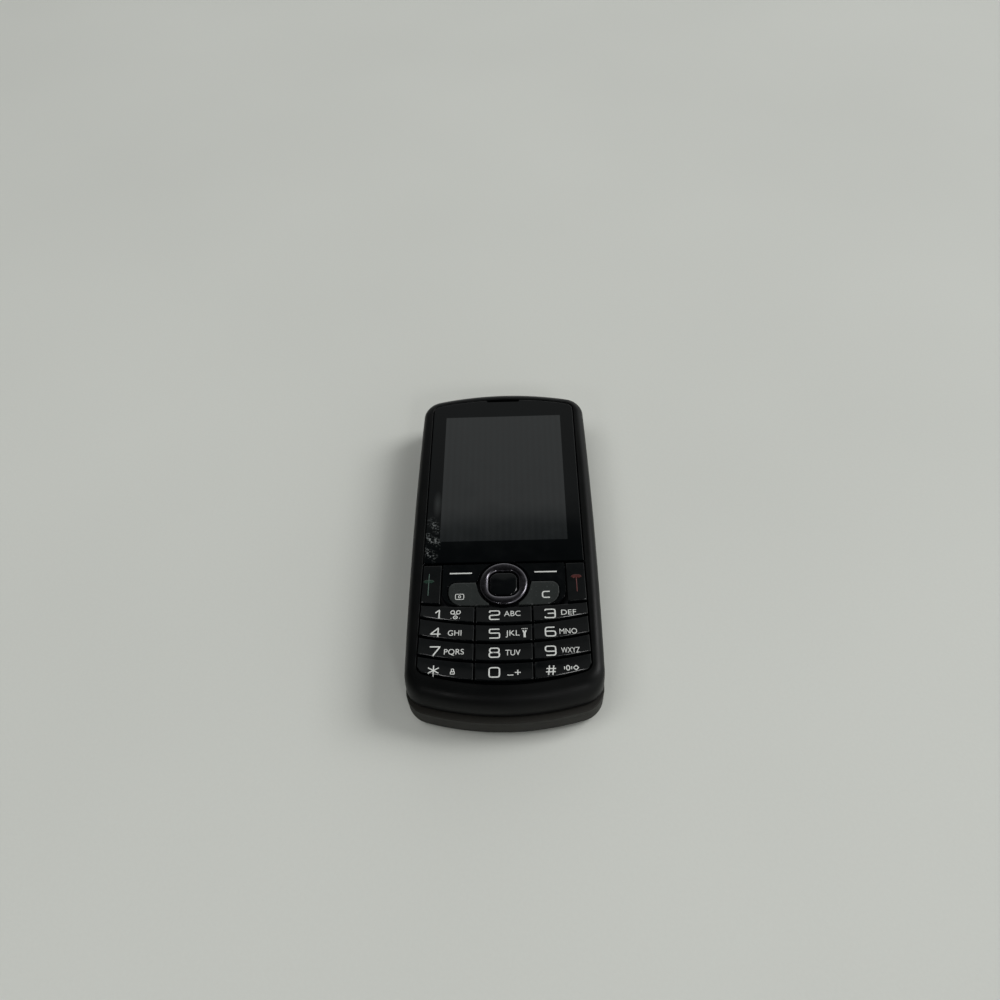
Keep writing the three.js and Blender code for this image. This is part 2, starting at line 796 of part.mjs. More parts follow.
function makeBackCover() {
  const body = prism(
    outline(drawnIn(frontShape, bezel.wall + bezel.seamChamfer + clearance)),
    [frontBase, backCoverTop],
  );
  const heights = [frontBase - overrun, backCoverTop + overrun];
  const corner = backCover.windowCorner;
  const slots = [-1, 1].map((side) => {
    const ys = onSide(side, slotInside, channelOutside + clearance);
    return block([slotLeft, slotRight], ys, heights);
  });
  const springWindow = plate(springX, springY, heights, corner);
  const flexWindow = plate(flexWindowX, widened(flexY, backCover.windowGap), heights, corner);
  return body.subtract(joined([...slots, springWindow, flexWindow]));
}

// Slide's moving plate, whose channels hook under the rails
function makeMovingPlate() {
  const xs = around(0, movingPlate.halfWidth * 2);
  const top = movingPlateBase + movingPlate.thickness;
  const flat = plate(xs, around(0, channelOutside * 2), [movingPlateBase, top], movingPlate.corner);
  const channelX = widened(xs, -movingPlate.corner);
  const channels = [-1, 1].flatMap((side) => {
    const wallY = onSide(side, lipOutside + clearance, channelOutside);
    const hookY = onSide(side, lipOutside - rail.lip + clearance, channelOutside);
    return [
      block(channelX, wallY, [frontBase, movingPlateBase + movingPlate.thickness / 2]),
      block(channelX, hookY, [frontBase, frontBase + movingPlate.hook]),
    ];
  });
  const pinHeights = [movingPlateBase - stud.rise, movingPlateBase + movingPlate.thickness / 2];
  const pin = cylinder(spring.movingX, spring.movingY, stud.radius, pinHeights);
  const flexHole = block(
    around(flex.frontX, flex.slotWidth),
    widened(flexY, clearance),
    [movingPlateBase - overrun, top + overrun],
  );
  return joined([flat, ...channels, pin]).subtract(flexHole);
}

// Slide's fixed plate, with its two rails
function makeFixedPlate() {
  const flat = plate(
    [fixedPlateLeft, fixedPlateRight],
    around(0, fixedPlateHalfLength * 2),
    [fixedPlateBase, deckTop],
    fixedPlate.corner,
  );
  const sunk = deckTop - fixedPlate.thickness / 2;
  const lipTop = lipBase + rail.lipThickness;
  const rails = [-1, 1].flatMap((side) => {
    const webY = around(rail.y * side, rail.web);
    const lipY = onSide(side, rail.y - rail.web / 2, lipOutside);
    return [
      block([railLeft, railRight], webY, [sunk, lipTop]),
      block([railLeft, railRight], lipY, [lipBase, lipTop]),
    ];
  });
  const pin = cylinder(spring.baseX, spring.baseY, stud.radius, [sunk, deckTop + stud.rise]);
  const flexHole = block(
    around(flexSlot, flex.slotWidth),
    widened(flexY, clearance),
    [fixedPlateBase - overrun, deckTop + overrun],
  );
  return joined([flat, ...rails, pin]).subtract(flexHole);
}

// A strip of even thickness along a path in the XZ plane, as wide as the flex cable
function ribbon(path, thickness) {
  const shape = new THREE.Shape();
  const side = (offset) =>
    path.map(([x, z], i) => {
      const [ax, az] = path[Math.max(i - 1, 0)];
      const [bx, bz] = path[Math.min(i + 1, path.length - 1)];
      const length = Math.hypot(bx - ax, bz - az);
      return [x - ((bz - az) / length) * offset, z + ((bx - ax) / length) * offset];
    });
  const points = [...side(-thickness / 2), ...side(thickness / 2).reverse()];
  shape.setFromPoints(points.map(([x, z]) => new THREE.Vector2(x, z)));
  const strip = new THREE.ExtrudeGeometry(shape, { depth: flex.width, bevelEnabled: false });
  strip.rotateX(Math.PI / 2);
  strip.translate(0, flexY[1], 0);
  return solidOf(strip);
}

// Flex cable: up from the main board, round a turn and back to the keypad board
function makeFlex() {
  const low = frontBase + flex.thickness / 2;
  const high = low + flex.legRise - flex.thickness;
  const turn = (high - low) / 2;
  const bend = arc(flex.turnX, low + turn, turn, -Math.PI / 2, Math.PI / 2, roundSteps * 2);
  const path = [
    [flexSlot, boardTop + clearance],
    [flexSlot, low - clearance],
    [flexSlot + clearance, low],
    ...bend,
    [flex.frontX + clearance, high],
    [flex.frontX, high + clearance],
    [flex.frontX, frontInside - clearance],
  ];
  return ribbon(path, flex.thickness);
}

// Spring between the plates: a bent wire with an eye round each plate's stud
function makeSpring() {
  const height = (frontBase + backCoverTop) / 2;
  const eyes = [
    [spring.baseX, spring.baseY],
    [spring.movingX, spring.movingY],
  ];
  const rings = eyes.map(([x, y]) => {
    const ring = new THREE.TorusGeometry(spring.eye, spring.wire / 2, domes.steps, circleSteps);
    ring.translate(x, y, height);
    return solidOf(ring);
  });
  const { apexX, apexY, apexRadius } = spring;
  const [start, end] = eyes.map(([x, y]) => [x - spring.eye, y]);
  const half = Math.PI / 2;
  const turn = arc(apexX + apexRadius, apexY, apexRadius, half * 3, half, roundSteps * 2);
  const stops = [start, ...turn, end].map(([x, y]) => new THREE.Vector3(x, y, height));
  const section = new THREE.Shape();
  section.absarc(0, 0, spring.wire / 2, 0, Math.PI * 2);
  const wire = new THREE.ExtrudeGeometry(section, {
    extrudePath: new THREE.CatmullRomCurve3(stops, false, "centripetal"),
    steps: circleSteps,
    curveSegments: domes.steps / 2,
    bevelEnabled: false,
  });
  return joined([solidOf(wire), ...rings]);
}

// Battery cover: a shallow tray that wraps the back's round edge
function makeCover() {
  const { thickness, wall, depth } = cover;
  const across = around(0, halfWidth * 2 + overrun);
  const beyond = block(across, [coverEnd, baseTop + overrun], [-overrun, depth + overrun]);
  const rings = [thickness, (thickness + depth) / 2, depth].map((z) => baseRing(z, wall));
  const hollow = loft([...rings, atHeight(rings.at(-1), depth + overrun)]);
  return baseBody([0, depth]).subtract(joined([beyond, hollow]));
}

// Places of the pieces in the rear housing
const cardX = around(0, cardSocket.width);
const batteryX = around(0, battery.width);
const pocketX = [batteryWall, halfWidth - base.wall - bezel.sideBow];
const motorY = batteryBottom + motor.fromBottom + motor.length / 2;
const speakerX = [-speaker.fromMiddle - speaker.width, -speaker.fromMiddle];
const speakerY = [topBayBottom + clearance, topBayBottom + clearance + speaker.height];
const cameraX = around(0, cameraModule.width);
const cameraMiddle = baseTop - cameraModule.fromEnd - cameraModule.width / 2;
const windowHeights = [cameraWindow.recess, cameraWindow.recess + cameraWindow.thickness];
const floorTop = cover.thickness + sockets.skin;
const headsetX = [-sockets.fromMiddle - headset.width, -sockets.fromMiddle];
const chargeX = [sockets.fromMiddle, sockets.fromMiddle + charge.width];
const headsetEnd = baseTop - socketFall - base.wall - clearance;
const chargeEnd = baseTop - endFall(chargeX[1]) - base.wall - clearance;
const headsetMiddle = floorTop + clearance + headset.thickness / 2;
const chargeMiddle = floorTop + clearance + sockets.rise + charge.thickness / 2;

// A bay of the rear housing that is open towards the deck, between the base half's walls
function upperBay(floor, ys) {
  const heights = [floor, housingTop + overrun];
  return insideBase(base.wall, heights).intersect(block([-halfWidth, halfWidth], ys, heights));
}

// A bay that is open towards the back
const lowerBay = (xs, ys, ceiling, corner = clearance) => plate(xs, ys, [-overrun, ceiling], corner);

// The slots through the back that the loudspeaker sounds through
function soundSlots() {
  const first = middleOf(speakerX) - ((speaker.slots - 1) * speaker.pitch) / 2;
  const ys = around(middleOf(speakerY), speaker.slotLength);
  return Array.from({ length: speaker.slots }, (_, i) =>
    plate(
      around(first + i * speaker.pitch, speaker.slotWidth),
      ys,
      [-overrun, floorTop + clearance],
      speaker.slotWidth / 3,
    ),
  );
}

// The holes through the top end's wall, in front of the headset socket and the charge socket
function socketHoles() {
  const length = base.wall * 2 + overrun;
  const jack = new THREE.CylinderGeometry(headset.hole, headset.hole, length, circleSteps);
  jack.translate(middleOf(headsetX), headsetEnd + length / 2, headsetMiddle);
  const plug = block(
    widened(chargeX, -charge.wall),
    [chargeEnd, chargeEnd + length],
    around(chargeMiddle, charge.thickness - charge.wall * 2),
  );
  return [solidOf(jack), plug];
}

// Rear housing: the base half's tray, with bays for what it carries
function makeHousing() {
  const coverSpace = block(
    around(0, halfWidth * 2 + overrun),
    [baseBottom - overrun, coverEnd + clearance],
    [-overrun, housingSeam],
  );
  const batteryY = widened([batteryBottom, contactsTop], clearance);
  const simX = around(0, simHolder.width + clearance * 2);
  const bays = [
    lowerBay(widened(batteryX, clearance), batteryY, bayCeiling),
    lowerBay(simX, widened([simBottom, simTop], clearance), shelfBase),
    lowerBay(widened(cardX, clearance), widened([cardBottom, cardTop], clearance), shelfBase),
    ...[-1, 1].map((side) =>
      lowerBay(onSide(side, ...pocketX), [batteryBottom, batteryTop], bayCeiling, housing.pocketCorner),
    ),
    upperBay(shelfTop, [baseBottom, cardTop - housing.rib]),
    upperBay(shelfTop, [simBottom, topBayBottom - housing.rib]),
    upperBay(floorTop, [topBayBottom, baseTop]),
  ];
  const bosses = screwPlaces.map(({ x, y, seat }) =>
    cylinder(x, y, housing.bossRadius, [seat, housingTop]),
  );
  const screwHoles = screwPlaces.flatMap(({ x, y, seat }) => {
    const headTop = seat + screw.recess + screw.head + clearance;
    return [
      cylinder(x, y, screw.shaftRadius + clearance, [-overrun, housingTop + overrun]),
      cylinder(x, y, screw.headRadius + clearance, [-overrun, headTop]),
    ];
  });
  const cameraHoles = [
    cylinder(0, cameraMiddle, cameraWindow.radius + clearance, [-overrun, windowHeights[1] + clearance]),
    cylinder(0, cameraMiddle, cameraWindow.radius - cameraWindow.seat, [-overrun, floorTop + clearance]),
  ];
  const holes = [...screwHoles, ...cameraHoles, ...soundSlots(), ...socketHoles(), rockerSpace()];
  return baseBody([0, housingTop])
    .subtract(joined([coverSpace, ...bays]))
    .add(joined(bosses))
    .subtract(joined(holes));
}

// Screws: the lower pair starts under the battery cover, the upper pair at the back's face
const screwPlaces = [
  { x: -screwX, y: screwBottomY, seat: housingSeam },
  { x: screwX, y: screwBottomY, seat: housingSeam },
  { x: -screwX, y: screwTopY, seat: 0 },
  { x: screwX, y: screwTopY, seat: 0 },
];
const screwTip = housingTop + clearance + screw.grip;

function makeScrew(seat) {
  const from = seat + screw.recess;
  const seatTop = from + screw.head;
  const { shaftRadius, head, driverSides } = screw;
  const driver = new THREE.CylinderGeometry(shaftRadius, shaftRadius, head, driverSides);
  driver.rotateX(Math.PI / 2);
  driver.translate(0, 0, from);
  return cylinder(0, 0, screw.headRadius, [from, seatTop])
    .add(cylinder(0, 0, screw.shaftRadius, [seatTop - screw.head / 2, screwTip]))
    .subtract(solidOf(driver));
}

// Volume rocker on the right side, and the space that it takes in the rear housing
const rockerZ = (housingSeam + housingTop) / 2;
const sideAt = (y) => halfWidth - bezel.sideBow * (y / baseTop) ** 2;
const rockerOutside = sideAt(rockerY) + rocker.proud;
const rockerWallX = sideAt(rockerY + rocker.length / 2) - base.wall;
const flangeX = [rockerWallX - rocker.play - rocker.flange, rockerWallX - rocker.play];

function rockerSpace() {
  const heights = around(rockerZ, rocker.height + clearance * 2);
  const through = block(
    [rockerWallX - overrun, rockerOutside + overrun],
    around(rockerY, rocker.length + rocker.play * 2),
    heights,
  );
  const flange = block(
    [flangeX[0] - rocker.play, rockerWallX],
    around(rockerY, rocker.length + rocker.flangeGrip * 2 + rocker.play * 4),
    heights,
  );
  return through.add(flange);
}

function makeRocker() {
  const heights = around(0, rocker.height);
  const reach = rockerOutside - flangeX[0];
  const flange = block([0, rocker.flange], around(0, rocker.length + rocker.flangeGrip * 2), heights);
  const body = plate([0, reach], around(0, rocker.length), heights, rocker.corner);
  return body.add(flange);
}

// Deck frame: the base half's top, with the letter pad's opening and the fixed plate's recess
function makeDeck() {
  const halfLength = letterPad.length / 2;
  const above = [deckPlateBase - overrun, deckTop + overrun];
  const opening = plate([letterLeft, letterRight], around(0, letterPad.length), above, letterPad.corner);
  const bay = plate(
    [bayLeft, bayRight],
    widened([-halfLength, halfLength], letterPad.lip),
    [deckBase - overrun, deckPlateBase],
    letterPad.corner,
  );
  const recess = plate(
    widened([fixedPlateLeft, fixedPlateRight], clearance),
    around(0, (fixedPlateHalfLength + clearance) * 2),
    [fixedPlateBase - clearance, deckTop + overrun],
    fixedPlate.corner,
  );
  const tabWindow = block(
    [bayRight - overrun, fixedPlateLeft + mainBoard.tabLength],
    widened(flexY, deck.tabGap),
    [deckBase - overrun, fixedPlateBase - clearance / 2],
  );
  const holes = screwPlaces.map(({ x, y }) =>
    cylinder(x, y, screw.shaftRadius + clearance, [deckBase - overrun, screwTip + clearance]),
  );
  return baseBody([deckBase, deckTop]).subtract(joined([opening, bay, recess, tabWindow, ...holes]));
}

// Letter pad: one moulding of soft keys on a thin sheet
function makeLetterPad() {
  const halfLength = letterPad.length / 2;
  const sheet = plate(
    widened([bayLeft, bayRight], -clearance),
    widened([-halfLength, halfLength], letterPad.lip - clearance),
    [letterBase, letterSheetTop],
    letterPad.corner,
  );
  const field = {
    x: widened([letterLeft, letterRight], -letterPad.border),
    y: widened([-halfLength, halfLength], -letterPad.border),
  };
  const rowPitch = (field.x[1] - field.x[0]) / letterPad.rows;
  const columnPitch = (field.y[1] - field.y[0]) / letterPad.columns;
  const cell = ([from], pitch, index) =>
    widened([from + index * pitch, from + (index + 1) * pitch], -letterPad.gap / 2);
  const keys = [];
  for (let row = 0; row < letterPad.rows; row++)
    for (let column = 0; column < letterPad.columns; column++) {
      const xs = cell(field.x, rowPitch, row);
      const ys = cell(field.y, columnPitch, column);
      const face = square(widened(xs, -letterPad.slope), widened(ys, -letterPad.slope));
      const heights = [letterBase + letterPad.sheet / 2, deckTop - letterPad.drop];
      keys.push(loft([atHeight(square(xs, ys), heights[0]), atHeight(face, heights[1])]));
    }
  return joined([sheet, ...keys]);
}

// Main board, with a tab that reaches under the flex cable's slot
function makeMainBoard() {
  const halfLength = letterPad.length / 2;
  const body = plate(
    widened([bayLeft, bayRight], -clearance),
    widened([-halfLength, halfLength], letterPad.lip - clearance),
    [deckBase, boardTop],
    letterPad.corner,
  );
  const tab = block(
    [bayRight - overrun, fixedPlateLeft + mainBoard.tabLength - clearance],
    flexY,
    [deckBase, boardTop],
  );
  return body.add(tab);
}

// Shield can under the main board, open towards the board
function makeShield() {
  const ys = around((simBottom + topBayBottom - housing.rib) / 2, shield.length);
  const xs = [bayLeft + clearance * 2, bayLeft + clearance * 2 + shield.width];
  const top = housingTop;
  const hollow = plate(
    widened(xs, -shield.skin),
    widened(ys, -shield.skin),
    [top - shield.height + shield.skin, top + overrun],
    shield.corner - shield.skin,
  );
  return plate(xs, ys, [top - shield.height, top], shield.corner).subtract(hollow);
}

function makeBattery() {
  const heights = [batteryBase, batteryBase + battery.thickness];
  return plate(batteryX, [batteryBottom, batteryTop], heights, battery.corner);
}

function makeContacts() {
  const top = bayCeiling - clearance;
  const ys = [batteryTop + clearance, contactsTop];
  return block(around(0, contacts.width), ys, [top - contacts.thickness, top]);
}

// SIM holder and memory card socket: flat sleeves, open at one end
function sleeve(xs, ys, { thickness, floor, slot }) {
  const top = shelfBase - clearance;
  const foot = top - thickness + floor;
  const hollow = block(
    widened(xs, -simHolder.wall),
    [ys[0] - overrun, ys[1] - simHolder.wall],
    [foot, foot + slot],
  );
  return block(xs, ys, [top - thickness, top]).subtract(hollow);
}

const makeSimHolder = () => sleeve(around(0, simHolder.width), [simBottom, simTop], simHolder);
const makeCardSocket = () => sleeve(cardX, [cardBottom, cardTop], cardSocket);

function makeSpeaker() {
  const from = floorTop + clearance;
  return plate(speakerX, speakerY, [from, from + speaker.thickness], speaker.corner);
}

function makeMotor() {
  const drum = new THREE.CylinderGeometry(motor.radius, motor.radius, motor.length, circleSteps);
  drum.translate(middleOf(pocketX), motorY, bayCeiling - clearance - motor.radius);
  return solidOf(drum);
}

// Camera module, whose barrel points through the back, and its window
function makeCamera() {
  const from = floorTop + clearance;
  const ys = around(cameraMiddle, cameraModule.width);
  const body = plate(cameraX, ys, [from, from + cameraModule.thickness], cameraModule.corner);
  const barrelHeights = around(from, cameraModule.barrel * 2);
  return body.add(cylinder(0, cameraMiddle, cameraModule.barrelRadius, barrelHeights));
}

const makeCameraWindow = () => cylinder(0, cameraMiddle, cameraWindow.radius, windowHeights);

function makeHeadset() {
  const body = block(
    headsetX,
    [headsetEnd - headset.length, headsetEnd],
    around(headsetMiddle, headset.thickness),
  );
  const length = headset.depth + overrun;
  const hole = new THREE.CylinderGeometry(headset.hole, headset.hole, length, circleSteps);
  hole.translate(middleOf(headsetX), headsetEnd + overrun - length / 2, headsetMiddle);
  return body.subtract(solidOf(hole));
}

function makeCharge() {
  const body = block(
    chargeX,
    [chargeEnd - charge.length, chargeEnd],
    around(chargeMiddle, charge.thickness),
  );
  const hollow = block(
    widened(chargeX, -charge.wall),
    [chargeEnd - charge.depth, chargeEnd + overrun],
    around(chargeMiddle, charge.thickness - charge.wall * 2),
  );
  return body.subtract(hollow);
}

const antennaX = around(0, antenna.width);

// Microphone, beside the antenna
function makeMicrophone() {
  const x = antennaX[1] + clearance + microphone.radius;
  const y = baseBottom + microphone.fromEnd;
  const from = shelfTop + clearance;
  return cylinder(x, y, microphone.radius, [from, from + microphone.thickness]);
}

// Antenna: a flat strip on the lower bay's floor, slit into a meander
function makeAntenna() {
  const ys = [baseBottom + antenna.fromEnd - antenna.height, baseBottom + antenna.fromEnd];
  const from = shelfTop + clearance;
  const pitch = antenna.width / (antenna.slits + 1);
  const slits = Array.from({ length: antenna.slits }, (_, i) => {
    const xs = around(antennaX[0] + (i + 1) * pitch, antenna.slit);
    const fromBelow = [ys[0] - overrun, ys[1] - antenna.slit];
    const fromAbove = [ys[0] + antenna.slit, ys[1] + overrun];
    return block(xs, i % 2 === 0 ? fromBelow : fromAbove, around(from, overrun * 2));
  });
  return block(antennaX, ys, [from, from + antenna.thickness]).subtract(joined(slits));
}

// Looks of the materials
const looks = {
  frontBlack: { color: 0x1b1b1c, roughness: 0.5, metalness: 0 },
  baseGrey: { color: 0x33312f, roughness: 0.55, metalness: 0 },
  glass: { color: 0x07090a, roughness: 0.06, metalness: 0 },
  lcd: { color: 0x333534, roughness: 0.3, metalness: 0 },
  key: { color: 0x0e1011, roughness: 0.15, metalness: 0 },
  plateKey: { color: 0x3a3c3d, roughness: 0.3, metalness: 0 },
  ring: { color: 0x2b2930, roughness: 0.12, metalness: 0.6 },
  steel: { color: 0x9a9a98, roughness: 0.35, metalness: 1 },
  board: { color: 0x1c4a2e, roughness: 0.6, metalness: 0 },
  film: { color: 0xc9c4a6, roughness: 0.4, metalness: 0 },
  silicone: { color: 0x232425, roughness: 0.7, metalness: 0 },
  battery: { color: 0x4a4b4e, roughness: 0.5, metalness: 0 },
  flex: { color: 0x8a4a1c, roughness: 0.5, metalness: 0 },
};

function piece(name, solid, look, [x, y, z] = [0, 0, 0]) {
  const mesh = new THREE.Mesh(geometryOf(solid), new THREE.MeshStandardMaterial(looks[look]));
  mesh.name = name;
  mesh.position.set(x, y, z);
  return mesh;
}

const baseHalf = new THREE.Group();
baseHalf.add(
  piece("rear_housing", makeHousing(), "baseGrey"),
  piece("deck_frame", makeDeck(), "baseGrey"),
  piece("letter_keymat", makeLetterPad(), "silicone"),
  piece("main_board", makeMainBoard(), "board"),
  piece("shield_can", makeShield(), "steel"),
  piece("battery", makeBattery(), "battery"),
  piece("battery_contacts", makeContacts(), "steel"),
  piece("sim_holder", makeSimHolder(), "steel"),
  piece("memory_card_socket", makeCardSocket(), "steel"),
  piece("loudspeaker", makeSpeaker(), "steel"),
  piece("vibration_motor", makeMotor(), "steel"),
  piece("camera_module", makeCamera(), "frontBlack"),
  piece("camera_window", makeCameraWindow(), "glass"),
  piece("headset_socket", makeHeadset(), "frontBlack"),
  piece("charge_socket", makeCharge(), "steel"),
  piece("microphone", makeMicrophone(), "steel"),
  piece("antenna", makeAntenna(), "flex"),
  piece("slide_fixed_plate", makeFixedPlate(), "steel"),
  piece("battery_cover", makeCover(), "baseGrey"),
  piece("volume_rocker", makeRocker(), "frontBlack", [flangeX[0], rockerY, rockerZ]),
);
screwPlaces.forEach(({ x, y, seat }, i) => {
  baseHalf.add(piece(`base_screw_${i + 1}`, makeScrew(seat), "steel", [x, y, 0]));
});

const frontHalf = new THREE.Group();
frontHalf.add(
  piece("front_bezel", makeBezel(), "frontBlack"),
  piece("display_window", makeWindow(), "glass"),
  piece("display_panel", makeDisplay(), "lcd"),
  piece("earpiece", makeEarpiece(), "steel"),
  piece("earpiece_mesh", makeEarMesh(), "frontBlack"),
  piece("keypad_board", makeKeypadBoard(), "board"),
  piece("dome_sheet", makeDomes(), "film"),
  piece("keypad_mat", makeMat(), "silicone"),
  piece("slide_back_cover", makeBackCover(), "frontBlack"),
  piece("slide_moving_plate", makeMovingPlate(), "steel"),
  piece("slide_spring", makeSpring(), "steel"),
  piece("slide_flex", makeFlex(), "flex"),
);

const keyNames = ["1", "2", "3", "4", "5", "6", "7", "8", "9", "star", "0", "hash"];
const keypad = new THREE.Group();
keyNames.forEach((name, i) => {
  keypad.add(piece(`key_${name}`, numberKey(Math.floor(i / columns.length), i % columns.length), "key"));
});
keypad.add(
  piece("send_key", callKey(-1), "key"),
  piece("end_key", callKey(1), "key"),
  piece("soft_key_left", softKey(-1), "key"),
  piece("soft_key_right", softKey(1), "key"),
  piece("camera_key", plateKey(-1), "plateKey"),
  piece("clear_key", plateKey(1), "plateKey"),
);
const navigationKeys = new THREE.Group();
navigationKeys.position.set(0, ringY, 0);
navigationKeys.add(
  piece("nav_plunger_plate", makePlunger(), "silicone"),
  piece("nav_ring", makeRing(), "ring"),
  piece("centre_key", makeCentreKey(), "key"),
);
frontHalf.add(keypad, navigationKeys);

const phone = new THREE.Group();
phone.add(baseHalf, frontHalf);
export default phone;
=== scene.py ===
"""A slider phone with a number pad, dressed round its packed model.

The file is laid out as an add-on and is run as a script: main() makes every piece in turn.
Shapes are worked out in millimetres, in the model's own frame, and stored in metres.
"""

import math
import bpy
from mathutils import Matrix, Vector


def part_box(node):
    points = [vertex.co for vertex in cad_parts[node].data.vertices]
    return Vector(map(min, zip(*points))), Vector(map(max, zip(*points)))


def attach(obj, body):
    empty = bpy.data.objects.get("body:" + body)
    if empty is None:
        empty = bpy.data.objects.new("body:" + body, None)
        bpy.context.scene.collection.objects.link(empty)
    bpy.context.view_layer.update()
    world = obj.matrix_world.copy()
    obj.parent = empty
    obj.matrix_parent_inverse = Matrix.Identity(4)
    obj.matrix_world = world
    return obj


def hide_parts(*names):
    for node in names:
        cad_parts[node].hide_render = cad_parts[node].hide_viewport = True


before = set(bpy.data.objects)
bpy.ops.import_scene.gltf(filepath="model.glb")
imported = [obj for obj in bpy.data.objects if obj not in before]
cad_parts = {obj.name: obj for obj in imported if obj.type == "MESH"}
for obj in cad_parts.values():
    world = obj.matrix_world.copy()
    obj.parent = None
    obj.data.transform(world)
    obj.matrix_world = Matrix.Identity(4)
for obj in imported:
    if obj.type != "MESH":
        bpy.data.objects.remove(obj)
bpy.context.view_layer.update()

from types import SimpleNamespace

import bmesh
import bpy
import numpy as np
from bpy.props import FloatProperty, FloatVectorProperty, IntProperty, PointerProperty
from mathutils import Matrix, Vector

bl_info = {
    "name": "Slider phone",
    "version": (1, 0, 0),
    "blender": (4, 5, 0),
    "location": "3D View > Sidebar > Phone",
    "description": "Dresses a packed slider phone: shells, window, keys, slide and stage",
    "category": "Object",
}

MM = 0.001
# A curve of this radius, in millimetres, is straight over the phone's width
STRAIGHT = 4000
# How far a cutter runs past the face that it opens, and the least corner of an outline, in millimetres
PAST = 1
LEAST_CORNER = 0.05
# Between the window and the block of keys under it, in millimetres
WINDOW_GAP = 0.3


def reach(node):
    """Where a CAD node reaches, in millimetres: its corners, its middle, and its span on each axis."""
    low, high = [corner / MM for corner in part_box(node)]
    xs, ys, zs = zip(low, high)
    return SimpleNamespace(low=low, high=high, middle=(low + high) / 2, xs=xs, ys=ys, zs=zs)


# Places that come from the packed model
FRONT = reach("front_bezel")
WINDOW = reach("display_window")
PANEL = reach("display_panel")
DECK = reach("deck_frame")
HOUSING = reach("rear_housing")
COVER = reach("battery_cover")
PAD_SHEET = reach("keypad_mat")
RING = reach("nav_ring")
FACE = WINDOW.high.z


# Sizes and colours that a user would change


def length(name, description, value):
    """A length property whose default is written in millimetres."""
    return FloatProperty(name=name, description=description, default=value * MM, unit="LENGTH", precision=5)


def srgb(code):
    """The linear colour of an sRGB hex value."""
    parts = [int(code[i : i + 2], 16) / 255 for i in (1, 3, 5)]
    return tuple(p / 12.92 if p <= 0.04045 else ((p + 0.055) / 1.055) ** 2.4 for p in parts)


def colour(name, description, code):
    """A colour property whose default is an sRGB hex value."""
    return FloatVectorProperty(
        name=name, description=description, default=srgb(code), subtype="COLOR", size=3, min=0, max=1
    )


def power(name, description, value):
    """A lamp's power."""
    return FloatProperty(name=name, description=description, default=value, min=0, unit="POWER")


class PhoneFrontSizes(bpy.types.PropertyGroup):
    """Display half"""

    clearance: length("Clearance", "Gap between neighbouring pieces", 0.3)
    edge_round: length("Edge round", "Radius of the bezel's upper edge", 2.6)
    seam_chamfer: length("Seam chamfer", "Chamfer where the halves meet", 0.3)
    side_bow: length("Side bow", "How far the sides fall in towards the ends", 0.8)
    corner: length("Corner", "Radius of the bezel's corners", 6.5)
    top_bow: length("Top bow", "Radius of the upper end's curve", 95)
    chin_bow: length("Chin bow", "Radius of the lower end's curve", 80)
    chin_depth: length("Chin depth", "From the seam's end to the keypad", 5.7)
    chin_flat: length("Chin flat", "Flat strip under the keypad", 0.6)
    wall: length("Wall", "Wall of the bezel", 1.5)
    mask: length("Mask", "Thickness of the wall under the window", 0.9)
    mask_border: length("Mask border", "How far the wall's opening clears the lit area", 0.8)
    lip: length("Lip", "Chamfer round the window and the keypad", 0.14)
    active_width: length("Lit width", "Width of the display's lit area", 36.72)
    active_height: length("Lit height", "Height of the display's lit area", 48.96)
    panel_foot: length("Panel foot", "Panel frame below the lit area", 4.4)
    glass_corner: length("Window corner", "Radius of the window's upper corners", 3)
    glass_bow: length("Window bow", "Radius of the window's upper edge", 90)
    glass_foot: length("Window foot", "Radius of the window's lower corners", 0.5)
    glass_edge: length("Window edge", "Radius of the window's polished edge", 0.22)
    pocket_bow: length("Pocket bow", "Radius of the keypad's lower edge", 68)
    pocket_corner: length("Pocket corner", "Radius of the keypad's lower corners", 3)
    slot_width: length("Ear slot width", "Width of the earpiece slot", 10.6)
    slot_height: length("Ear slot height", "Height of the earpiece slot", 1.3)
    sound_width: length("Sound width", "Width of the hole behind the slot", 7)
    sound_height: length("Sound height", "Height of the hole behind the slot", 0.6)
    mesh_wire: length("Mesh wire", "Thickness of the earpiece mesh's wires", 0.09)
    mesh_pitch: length("Mesh pitch", "Distance between the mesh's wires", 0.22)


